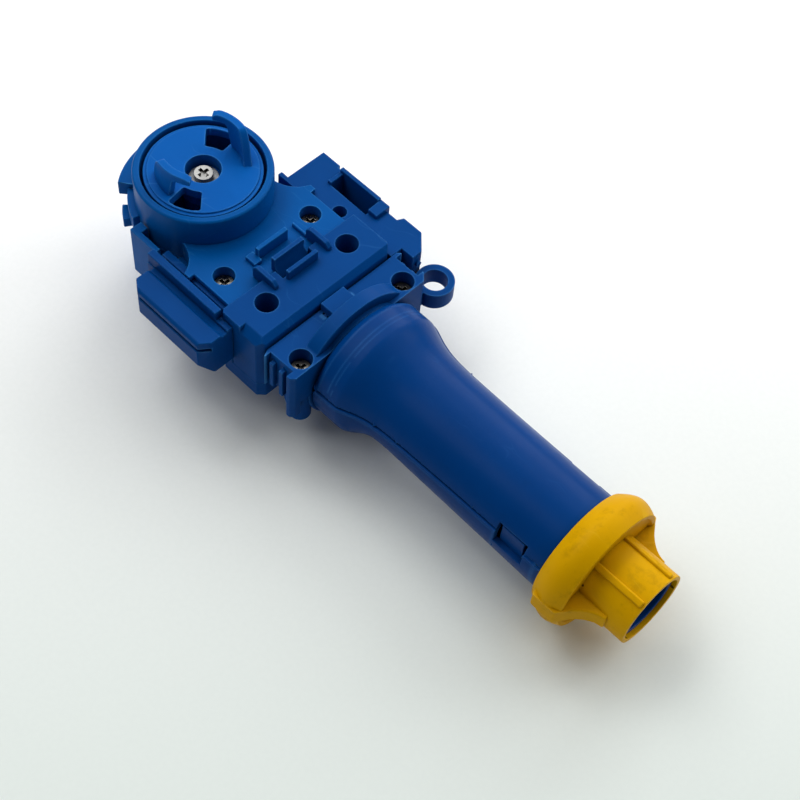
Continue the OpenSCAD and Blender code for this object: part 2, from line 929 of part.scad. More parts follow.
// The fixed bar that a finger pulls the lever towards
module stop_bar() {
    block(stop_bar_x, stop_bar_x + stop_bar_t, -latch_half, latch_half,
        head_wall_z, bar_z);
}

// The two ribs beside the latch, reaching forward over the launcher's tail
module finger_ribs() {
    top = head_z + rib_h;
    both_sides() across(rib_y, rib_y + rib_t) polygon([
        [rib_front_x, plate_z + gap], [rib_front_x, top - rib_nose],
        [rib_front_x + rib_nose, top], [rib_rear_x - rib_nose, top],
        [rib_rear_x, top - rib_nose], [rib_rear_x, head_wall_z],
        [head_front_x, head_wall_z], [head_front_x, plate_z + gap]]);
}

module head_lower() {
    boss_z = head_base_z + wall;
    placed("#145a9e") difference() {
        union() {
            difference() {
                slab(head_base_z, head_seam_z) head_outline(0);
                slab(boss_z, head_seam_z + over) head_outline(wall);
            }
            intersection() {
                head_spigot();
                block(head_rear_x - wall, collar_rear_x, -head_rail_half, head_rail_half,
                    0, head_seam_z);
            }
            for (side = [-1, 1])
                post(head_screw_x, side * head_screw_y, low_boss_r,
                    head_base_z, head_seam_z);
            post(spring_x, 0, spring_post_r, head_base_z, spring_seat_z);
            post(spring_x, 0, spring_nub_r, head_base_z, spring_seat_z + spring_nub_h);
            tenon_finger(-1, head_rail_half);
            tenon_finger(1, head_socket_half);
        }
        barrel(spigot_bore_r, head_rear_x - wall - over, head_rear_x + spigot_len + over);
        barrel(core_flange_r + gap, core_front_x - gap, head_rear_x - wall);
        for (side = [-1, 1])
            post(head_screw_x, side * head_screw_y, shank_r,
                head_seam_z + head_seat_t - head_screw_len, head_seam_z + over);
    }
}

// The finger that fills a tenon's slot from below and holds the tenon up
module tenon_finger(side, wall_y) {
    low = side < 0 ? -wall_y : wall_y - wall;
    block(tenon_x, tenon_x + tenon_t, low, low + wall, head_base_z, tenon_base_z);
}

module head_screws() {
    placed("#b9bcc0") for (side = [-1, 1])
        screw(head_screw_x, side * head_screw_y, head_seam_z + head_seat_t,
            head_screw_len);
}

// A block's tenon: a neck through the head's wall and a hook behind it
module tenon(side, wall_y) {
    neck_in = side * (wall_y - wall - tenon_hook_t);
    neck_out = side * (wall_y + tenon_t);
    hook_out = side * (wall_y - wall - gap);
    block(tenon_x, tenon_x + tenon_t, min(neck_in, neck_out), max(neck_in, neck_out),
        tenon_base_z, tenon_top_z - gap);
    block(tenon_x, tenon_x + tenon_t + tenon_hook, min(neck_in, hook_out),
        max(neck_in, hook_out), tenon_base_z, tenon_top_z - gap);
}

// Front view of the near block: flange, groove, rail, valley, slotted pad and belly
module rail_section() {
    pad_low_z = pad_z - pad_t;
    belly_y = side_half - belly_in;
    polygon([[-flange_half, lower_case_h], [-flange_half, flange_z],
        [-rail_in_y + groove_in, flange_z], [-rail_in_y + groove_in, groove_z],
        [-rail_in_y, groove_z], [-rail_in_y, rail_z], [-rail_out_y, rail_z],
        [-rail_out_y, valley_z], [-pad_y, valley_z], [-pad_y - pad_edge, pad_z],
        [-side_half + pad_edge, pad_z], [-side_half, pad_z - pad_edge],
        [-side_half, pad_low_z], [-side_half + slot_depth, pad_low_z],
        [-side_half + slot_depth, pad_low_z - pad_slot_h],
        [-side_half, pad_low_z - pad_slot_h], [-side_half, belly_z],
        [-belly_y, block_base_z], [-plate_half - side_play, block_base_z],
        [-plate_half - side_play, lower_case_h]]);
}

// Plan of the near block: rail part up to the head, pad part along the head's side
module rail_outline() {
    polygon([[block_front_x, -flange_half], [block_front_x, -rail_out_y - gap],
        [pad_front_x, -rail_out_y - gap], [pad_front_x, -side_half + pad_corner_y],
        [pad_front_x + pad_corner, -side_half], [pad_rear_x - pad_corner_y, -side_half],
        [pad_rear_x, -side_half + pad_corner], [pad_rear_x, -head_rail_half],
        [head_front_x, -head_rail_half], [head_front_x, -flange_half]]);
}

module side_rail_block() {
    placed("#145a9e") {
        difference() {
            intersection() {
                slab(block_base_z, rail_z) rail_outline();
                along(block_front_x, pad_rear_x) rail_section();
            }
            block(rail_end_x, pad_rear_x + over, -pad_y, -rail_in_y + over,
                pad_z, rail_z + over);
        }
        tenon(-1, head_rail_half);
    }
}

// Front view of the socket plate: flange, flat top, edge and belly
module socket_section() {
    polygon([[flange_half, lower_case_h], [flange_half, flange_z],
        [socket_half, flange_z], [socket_half, plate_edge_z],
        [socket_half - plate_belly_in, block_base_z],
        [plate_half + side_play, block_base_z], [plate_half + side_play, lower_case_h]]);
}

// Plan of the socket plate, with the notch, the waist and the cut rear corner
module socket_outline() {
    pocket_end_x = pocket_x + pocket_len + pocket_block_len;
    polygon([[block_front_x, flange_half], [block_front_x, flange_half + flange_step],
        [plate_front_x, flange_half + flange_step], [plate_front_x, socket_half],
        [notch_x, socket_half], [notch_x, socket_half - notch_depth],
        [notch_x + notch_len, socket_half - notch_depth],
        [notch_x + notch_len, socket_half],
        [pocket_end_x - block_corner, socket_half],
        [pocket_end_x, socket_half - waist_depth],
        [waist_x, socket_half - waist_depth], [waist_x + notch_depth, socket_half],
        [plate_rear_x - plate_bevel, socket_half],
        [plate_rear_x, socket_half - plate_bevel], [plate_rear_x, plate_tail_y],
        [head_rear_x - gap, plate_tail_y], [head_rear_x - gap, head_socket_half],
        [head_front_x, head_socket_half], [head_front_x, flange_half]]);
}

module side_socket_plate() {
    placed("#145a9e") {
        difference() {
            union() {
                intersection() {
                    slab(block_base_z, flange_z) socket_outline();
                    along(block_front_x, plate_rear_x) socket_section();
                }
                pocket_rim();
                translate([plate_rear_x, plate_tail_y + nub_drop / 2, flange_z - nub_drop])
                    rotate([0, 90, 0]) cylinder(h = nub_len, r = nub_r);
            }
            block(pocket_x, pocket_x + pocket_len, pocket_y, pocket_y + pocket_w,
                pocket_floor_z, flange_z + pocket_wall_h + over);
            post(plain_hole_x, plain_hole_y, plain_hole_r,
                flange_z - plain_hole_depth, flange_z + over);
        }
        tenon(1, head_socket_half);
    }
}

// The raised wall round the pocket's outer side and the block behind it
module pocket_rim() {
    wall_y = pocket_y + pocket_w;
    block(pocket_x - pocket_end, pocket_x + pocket_len, wall_y, wall_y + pocket_wall,
        pocket_floor_z, flange_z + pocket_wall_h);
    block(pocket_x - pocket_end, pocket_x + over, pocket_y, wall_y,
        pocket_floor_z, flange_z + pocket_wall_h / 2);
    block(pocket_x + pocket_len - over, pocket_x + pocket_len + pocket_block_len,
        pocket_y + pocket_end / 2, wall_y + pocket_wall,
        pocket_floor_z, flange_z + pocket_block_h);
}

// Latch

// Side view of the lever: finger bar, leaning arm, hub, rear arm, front arm and dog
module lever_section() {
    polygon([[bar_x, bar_z], [bar_x, plate_z + 2 * gap], [arm_front_x, plate_z + gap],
        [arm_front_x, pin_z], [pin_x, arm_low_z], [rear_arm_x, rear_arm_z],
        [rear_arm_x, rear_arm_z + rear_arm_t], [pin_x + arm_t / 2, pin_z + lever_hub_r],
        [arm_front_x + arm_t, plate_z + gap], [bar_x + bar_t, head_z],
        [bar_x + bar_t, bar_z]]);
    polygon([[dog_x, arm_low_z + front_arm_t], [dog_x, arm_low_z - dog_depth],
        [dog_x + dog_t, arm_low_z - dog_depth], [dog_x + dog_t, arm_low_z],
        [pin_x, arm_low_z], [pin_x, arm_low_z + front_arm_t]]);
}

module latch_lever() {
    placed("#1760a8") difference() {
        union() {
            across(-latch_half, latch_half) lever_section();
            crossbar(lever_hub_r, channel_half - gap);
        }
        crossbar(pin_r + fit_gap, channel_half + over);
        post(spring_x, 0, spring_nub_r, 0, rear_arm_z - over);
    }
}

module latch_pin() {
    placed("#b9bcc0") crossbar(pin_r, channel_half + web_t);
}

// One unbroken tube wound at a steady pitch, its ends flat against the seats
function spring_base() = spring_seat_z + spring_wire_r;
function spring_rise() = spring_top_z - spring_seat_z - 2 * spring_wire_r;
function spring_point(i, k) = let (
        steps = spring_turns * spring_rings,
        turn = 360 * i / spring_rings,
        side = 360 * k / spring_sides,
        r = spring_r + spring_wire_r * cos(side))
    [r * cos(turn), r * sin(turn),
        spring_base() + spring_rise() * i / steps + spring_wire_r * sin(side)];

module latch_spring() {
    steps = spring_turns * spring_rings;
    n = spring_sides;
    points = [for (i = [0 : steps]) for (k = [0 : n - 1]) spring_point(i, k)];
    walls = [for (i = [0 : steps - 1]) for (k = [0 : n - 1])
        let (a = n * i + k, b = n * i + (k + 1) % n)
        for (f = [[a, b + n, b], [a, a + n, b + n]]) f];
    ends = [for (k = [1 : n - 2])
        for (f = [[0, k, k + 1], [n * steps, n * steps + k + 1, n * steps + k]]) f];
    gaps = [for (i = [0 : steps - spring_rings]) for (k = [0 : n - 1])
        for (m = [0 : n - 1])
        norm(spring_point(i, k) - spring_point(i + spring_rings, m))];
    echo(least_spring_gap = min(gaps));
    placed("#c8cacc") translate([spring_x, 0, 0]) polyhedron(points, concat(walls, ends));
}

// Collar

// The room inside the collar for the spigot's flange, the handle's lip and both necks
module collar_rooms() {
    barrel(collar_bore_r, collar_front_x - over, collar_web_x);
    barrel(spigot_flange_r + gap, head_rear_x + spigot_len - spigot_flange_len - gap,
        collar_web_x);
    barrel(spigot_bore_r, collar_front_x, collar_rear_x + over);
    barrel(handle_neck_r + gap, handle_lip_x - gap, collar_rear_x + over);
    barrel(handle_lip_r + gap, handle_lip_x - gap,
        handle_lip_x + handle_lip_len + gap);
}

// Plan of the collar, with rounded rear corners
module collar_outline() {
    x0 = collar_front_x;
    x1 = collar_rear_x;
    polygon([[x0, -collar_half + collar_corner], [x0 + collar_corner / 2, -collar_half],
        [x1 - collar_corner / 2, -collar_half], [x1, -collar_half + collar_corner / 2],
        [x1, collar_half - collar_corner], [x1 - collar_corner, collar_half],
        [x0 + collar_corner / 2, collar_half], [x0, collar_half - collar_corner / 2]]);
}

// Side view of the collar's upper half, with the step under its skirts
module collar_side() {
    polygon([[collar_front_x, collar_z], [collar_rear_x, collar_z],
        [collar_rear_x, skirt_z], [collar_rear_x - collar_corner * 2, skirt_z],
        [collar_front_x + skirt_step_x, skirt_step_z], [collar_front_x, skirt_step_z]]);
}

module collar_upper() {
    placed("#145a9e") difference() {
        union() {
            difference() {
                intersection() {
                    slab(skirt_z, collar_z) collar_outline();
                    across(-collar_half - over, collar_half + over) collar_side();
                }
                block(collar_front_x - over, collar_rear_x + over,
                    -skirt_in_y, skirt_in_y, skirt_z - over, axis_z);
                side_recess();
            }
            intersection() {
                union() {
                    barrel(band_r, band_x, band_x + band_len);
                    barrel(seat_r, band_x, collar_rear_x);
                }
                block(collar_front_x, collar_rear_x, -skirt_in_y, skirt_in_y,
                    axis_z, axis_z + band_r);
            }
            block(collar_front_x, collar_front_x + key_len, -key_half, key_half,
                collar_z - over, collar_z + key_h);
            recess_columns();
            lanyard_eye();
        }
        collar_rooms();
        for (side = [-1, 1]) {
            post(collar_screw_x, side * collar_screw_y, collar_hole_r,
                collar_seat_z, collar_z + over);
            post(collar_screw_x, side * collar_screw_y, shank_r + hole_clear,
                axis_z - over, collar_seat_z + over);
        }
    }
}

// The recess in each end of the collar, open at the top
module side_recess() {
    both_sides()
        block(collar_front_x + recess_front, collar_rear_x - recess_rear,
            -collar_half - over, -recess_in_y, skirt_z - over, collar_z + over);
}

// The two upright columns left standing in each recess
module recess_columns() {
    first_x = collar_front_x + column_x;
    second_x = first_x + column_t + column_gap;
    both_sides() {
        block(first_x, first_x + column_t, -recess_in_y - column_out,
            -recess_in_y + over / 2, column_low_z, collar_z - column_gap);
        block(second_x, second_x + column_t, -recess_in_y - column_out,
            -recess_in_y + over / 2, skirt_step_z, collar_z - column_gap);
    }
}

// The eye for a lanyard, on an arm from the far end of the collar
module lanyard_eye() {
    difference() {
        union() {
            post(eye_x, eye_y, eye_r, eye_z, eye_z + eye_t);
            block(collar_rear_x - collar_corner - eye_hole_r, collar_rear_x - collar_corner / 2,
                recess_in_y - over, eye_y, eye_z, eye_z + eye_t);
        }
        post(eye_x, eye_y, eye_hole_r, eye_z - over, eye_z + eye_t + over);
    }
}

module collar_lower() {
    placed("#145a9e") difference() {
        union() {
            intersection() {
                barrel(low_ring_r, collar_front_x, collar_rear_x);
                block(collar_front_x, collar_rear_x, -low_ring_r, low_ring_r, 0, axis_z);
            }
            for (side = [-1, 1])
                post(collar_screw_x, side * collar_screw_y, collar_boss_r,
                    collar_boss_base_z, axis_z);
        }
        collar_rooms();
        for (side = [-1, 1])
            post(collar_screw_x, side * collar_screw_y, shank_r,
                axis_z - collar_thread, axis_z + over);
    }
}

module collar_screws() {
    placed("#b9bcc0") for (side = [-1, 1])
        screw(collar_screw_x, side * collar_screw_y, collar_seat_z,
            collar_seat_z - axis_z + collar_thread);
}

// Handle

// Radius of the upper shell: full at the flare, then falling away to the grip
function upper_r(x) = let (fall_x = handle_front_x + flare_len)
    x < fall_x ? flare_r
    : grip_r + (flare_r - grip_r)
        * exp(-pow((x - fall_x) / flare_fall, flare_power_share));

// Radius of the lower shell: a knuckle behind the collar, then a waist
function lower_r(x) = waist_r + max(0, x - waist_x0) * waist_rise_share
    + knuckle_r * exp(-pow((x - knuckle_x) / knuckle_len, 2));

// Half section of a shell from a list of radii along its length
module shell_section(radii, inset) {
    step = (shell_end_x - handle_front_x) / shell_steps;
    last = len(radii) - 1;
    polygon(concat(
        [for (i = [0 : last]) [handle_front_x + step * i, radii[i] - inset]],
        [[handle_front_x + step * last, 0], [handle_front_x, 0]]));
}

function shell_places() = [for (i = [0 : shell_steps])
    handle_front_x + (shell_end_x - handle_front_x) * i / shell_steps];

// A whole shell with its front neck, lip and rear neck, before it is cut at the seam
module whole_shell(radii) {
    difference() {
        union() {
            spun() shell_section(radii, 0);
            barrel(handle_neck_r, handle_lip_x, handle_front_x + shell_t);
            barrel(handle_lip_r, handle_lip_x, handle_lip_x + handle_lip_len);
            barrel(tail_neck_r, shell_end_x - shell_t, cap_x + tail_neck_len);
        }
        difference() {
            spun() shell_section(radii, shell_t);
            barrel(flare_r, handle_front_x - over, handle_front_x + shell_t);
            barrel(flare_r, shell_end_x - shell_t, cap_x + over);
        }
        barrel(handle_neck_r - handle_neck_t, handle_lip_x - over, cap_x + tail_neck_len + over);
    }
}

// The half space over the seam, or under it
module over_seam() {
    block(collar_front_x, knob_end_x, -flare_r - over, flare_r + over,
        axis_z + seam_rise, axis_z + flare_r + over);
}

module under_seam() {
    block(collar_front_x, knob_end_x, -flare_r - over, flare_r + over,
        0, axis_z + seam_rise);
}

// The openings beside the seam where the lower shell's clips show
module clip_windows() {
    both_sides()
        block(clip_x - clip_play, clip_x + clip_len + clip_play, clip_y - clip_t - clip_play,
            flare_r, axis_z + seam_rise - clip_low - clip_play,
            axis_z + seam_rise + clip_high + gap);
}

// Part of a ring round the handle's axis, its angles counted from +Y towards +Z
module arc_bar(r0, r1, x0, x1, from, to) {
    translate([x0, 0, axis_z]) rotate([90, 0, 90]) rotate([0, 0, from])
        rotate_extrude(angle = to - from) translate([r0, 0]) square([r1 - r0, x1 - x0]);
}

// Two lugs that turn into the cap's grooves
module bayonet_lugs() {
    for (side = [0, 180])
        arc_bar(tail_neck_r - handle_neck_t / 2, lug_ring_r, lug_ring_x,
            lug_ring_x + lug_ring_len, side - lug_half_angle, side + lug_half_angle);
}

// The cap's two grooves: an entry from its back edge, then a run between two stops
module bayonet_grooves() {
    half = lug_half_angle + groove_play_angle;
    for (side = [0, 180]) {
        arc_bar(cap_bore_r - over / 2, cap_groove_r, lug_ring_x - gap,
            lug_ring_x + lug_ring_len + gap, side - twist_angle - half, side + half);
        arc_bar(cap_bore_r - over / 2, cap_groove_r, cap_x - over,
            lug_ring_x + lug_ring_len / 2, side - twist_angle - half,
            side - twist_angle + half);
    }
}

module handle_upper() {
    placed("#0f4b96") difference() {
        intersection() {
            whole_shell([for (x = shell_places()) upper_r(x)]);
            over_seam();
        }
        clip_windows();
    }
}

module handle_lower() {
    placed("#0f4b96") {
        difference() {
            intersection() {
                union() {
                    whole_shell([for (x = shell_places()) lower_r(x)]);
                    bayonet_lugs();
                }
                under_seam();
            }
            clip_windows();
        }
        both_sides()
            block(clip_x, clip_x + clip_len, clip_y - clip_t, clip_y,
                axis_z - clip_low, axis_z + seam_rise + clip_high);
    }
}

module core_tube() {
    rear_x = knob_end_x - core_rear_gap;
    placed("#0f4b96") difference() {
        union() {
            barrel(core_r, core_front_x, rear_x);
            barrel(core_flange_r, core_front_x, core_front_x + core_flange_t);
        }
        barrel(core_r - core_t, core_front_x - over, rear_x + over);
    }
}

// Pommel cap

// Radius of the rim: a rounded crown between its back edge and its lip
function rim_radius(share) = share < rim_peak_share
    ? rim_back_r + (axis_z - rim_back_r) * sin(90 * share / rim_peak_share)
    : lip_r + (axis_z - lip_r) * cos(90 * (share - rim_peak_share) / (1 - rim_peak_share));

// Half section of the cap, still solid: rim, sunk face and knob
module cap_section() {
    face_x = lip_x - face_depth;
    polygon(concat(
        [[cap_x, 0]],
        [for (i = [0 : rim_steps]) let (share = i / rim_steps)
            [cap_x + rim_len * share, rim_radius(share)]],
        [[lip_x, lip_in_r], [face_x, lip_in_r - face_depth], [face_x, knob_r],
            [knob_end_x, knob_r], [knob_end_x, 0]]));
}

// Side view of a wing: a pad across the rim, then a hollow curve down to the knob
module wing_section() {
    pad_x = cap_x + pad_start;
    low_r = knob_r - cap_wall / 2;
    reach = axis_z - knob_r - ridge_h;
    polygon(concat(
        [[pad_x, low_r], [pad_x, rim_back_r], [pad_x + pad_slope, axis_z],
            [lip_x - face_depth, axis_z]],
        [for (i = [0 : wing_steps]) let (share = i / wing_steps)
            [lip_x + wing_end_x * share,
                knob_r + ridge_h + (reach - wing_drop) * pow(1 - share, 2)]],
        [[lip_x + wing_end_x, low_r]]));
}

module pommel_cap() {
    placed("#e1af00") difference() {
        union() {
            spun() cap_section();
            for (place = [0 : knob_places - 1])
                if (place % (knob_places / 2) == 0) {
                    knob_turn(place) wing();
                } else {
                    knob_turn(place) ridge();
                }
        }
        bayonet_grooves();
        barrel(cap_bore_r, cap_x - over, cap_x + tail_neck_len + gap);
        barrel(core_r + gap, cap_x, knob_end_x + over);
    }
}

// Turns a knob feature to its place, the first one level with the axis
module knob_turn(place) {
    translate([0, 0, axis_z]) rotate([90 + 360 * place / knob_places, 0, 0])
        translate([0, 0, -axis_z]) children();
}

// A narrow raised ridge along the knob
module ridge() {
    block(lip_x - face_depth, knob_end_x - ridge_short, -ridge_w / 2, ridge_w / 2,
        axis_z + core_r + cap_wall, axis_z + knob_r + ridge_h);
}

// A wing from the rim down to the knob
module wing() {
    translate([0, 0, axis_z]) across(-wing_t / 2, wing_t / 2) wing_section();
}

launcher_upper_case();
launcher_lower_case();
launcher_screws();
rotor();
rotor_washer();
rotor_screw();
drive_gear();
head_upper();
head_lower();
head_screws();
side_rail_block();
side_socket_plate();
collar_upper();
collar_lower();
collar_screws();
latch_lever();
latch_pin();
latch_spring();
core_tube();
handle_upper();
handle_lower();
pommel_cap();
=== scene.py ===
"""Looks of a spinning top launcher with its handle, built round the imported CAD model."""

import bisect
import logging
import math
from dataclasses import dataclass
from enum import Enum
from typing import Any, Optional, Sequence, Union

import bmesh
import bpy
from mathutils import Matrix, Vector
from mathutils.geometry import intersect_point_line


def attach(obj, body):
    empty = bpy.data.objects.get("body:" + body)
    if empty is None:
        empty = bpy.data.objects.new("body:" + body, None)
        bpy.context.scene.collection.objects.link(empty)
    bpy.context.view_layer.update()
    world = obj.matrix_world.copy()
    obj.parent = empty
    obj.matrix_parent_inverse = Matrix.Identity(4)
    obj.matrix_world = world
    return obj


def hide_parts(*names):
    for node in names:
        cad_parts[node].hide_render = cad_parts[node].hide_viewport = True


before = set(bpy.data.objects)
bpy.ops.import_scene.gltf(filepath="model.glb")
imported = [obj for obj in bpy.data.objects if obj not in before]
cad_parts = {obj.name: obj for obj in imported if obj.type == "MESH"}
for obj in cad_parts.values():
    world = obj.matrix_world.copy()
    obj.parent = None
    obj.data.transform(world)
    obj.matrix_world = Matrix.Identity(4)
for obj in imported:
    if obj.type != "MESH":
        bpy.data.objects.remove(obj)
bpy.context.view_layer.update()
LOG = logging.getLogger("launcher")
MM = 0.001
MERGE_REACH = 0.001 * MM
FLAT_ANGLE = 0.5
SMOOTH_ANGLE = 50.0

Colour = tuple[float, float, float]
Socket = bpy.types.NodeSocket


class Body(Enum):
    """The moving groups of the model that pieces ride on."""

    BASE = "base"
    ROTOR = "rotor"
    LATCH = "latch"
    CAP = "cap"


def tone(red: int, green: int, blue: int) -> Colour:
    """Turns display values into the linear colour that a shader takes.

    Args:
        red: Red from 0 to 255.
        green: Green from 0 to 255.
        blue: Blue from 0 to 255.

    Returns:
        The linear colour.
    """

    def linear(level: int) -> float:
        """Returns one channel in linear light."""
        share = level / 255.0
        return share / 12.92 if share <= 0.04045 else ((share + 0.055) / 1.055) ** 2.4

    return (linear(red), linear(green), linear(blue))


class NodeSketch:
    """Adds and joins the nodes of one tree."""

    def __init__(self, tree: bpy.types.NodeTree) -> None:
        """Keeps the tree that is drawn in."""
        self.tree = tree

    def add(self, kind: str, inputs: Optional[dict[Union[str, int], Any]] = None,
            **settings: Any) -> bpy.types.Node:
        """Adds a node, sets it and joins its inputs.

        Args:
            kind: The node's type name.
            inputs: Socket names or numbers with the value or the output that each takes.
            settings: Properties of the node itself.

        Returns:
            The new node.
        """
        node = self.tree.nodes.new(kind)
        for name, value in settings.items():
            setattr(node, name, value)
        for name, value in (inputs or {}).items():
            self.feed(node.inputs[name], value)
        return node

    def feed(self, target: Socket, value: Any) -> None:
        """Joins an output to an input, or sets the input's own value.

        Args:
            target: The input socket.
            value: An output socket, a number or a colour.
        """
        if isinstance(value, bpy.types.NodeSocket):
            self.tree.links.new(value, target)
        elif isinstance(value, tuple) and len(value) == 3 and target.type == "RGBA":
            target.default_value = (*value, 1.0)
        else:
            target.default_value = value

    def maths(self, operation: str, first: Any, second: Any = 0.0, clamp: bool = False) -> Socket:
        """Works out one number from two.

        Args:
            operation: The Math node's operation.
            first: A number or an output.
            second: A number or an output.
            clamp: Whether the result stays within 0 and 1.

        Returns:
            The result's output.
        """
        node = self.add("ShaderNodeMath", {0: first, 1: second}, operation=operation, use_clamp=clamp)
        return node.outputs[0]

    def blend(self, share: Any, first: Any, second: Any) -> Socket:
        """Mixes two colours.

        Args:
            share: How much of the second colour shows.
            first: A colour or an output.
            second: A colour or an output.

        Returns:
            The mixed colour's output.
        """
        node = self.add("ShaderNodeMix", {0: share, 6: first, 7: second},
                        data_type="RGBA", clamp_factor=True)
        return node.outputs[2]

    def span(self, value: Any, low: float, high: float,
             to_low: float = 0.0, to_high: float = 1.0) -> Socket:
        """Maps a range of numbers smoothly onto another.

        Args:
            value: The number's output.
            low: Where the range starts.
            high: Where the range ends.
            to_low: The result at the start.
            to_high: The result at the end.

        Returns:
            The mapped number's output.
        """
        node = self.add("ShaderNodeMapRange", {"Value": value, "From Min": low, "From Max": high,
                                               "To Min": to_low, "To Max": to_high},
                        interpolation_type="SMOOTHSTEP")
        return node.outputs[0]


def open_material(name: str) -> tuple[bpy.types.Material, NodeSketch]:
    """Makes an empty node material.

    Args:
        name: The material's name.

    Returns:
        The material and a sketch of its tree.
    """
    material = bpy.data.materials.new(name)
    material.use_nodes = True
    material.node_tree.nodes.clear()
    return material, NodeSketch(material.node_tree)


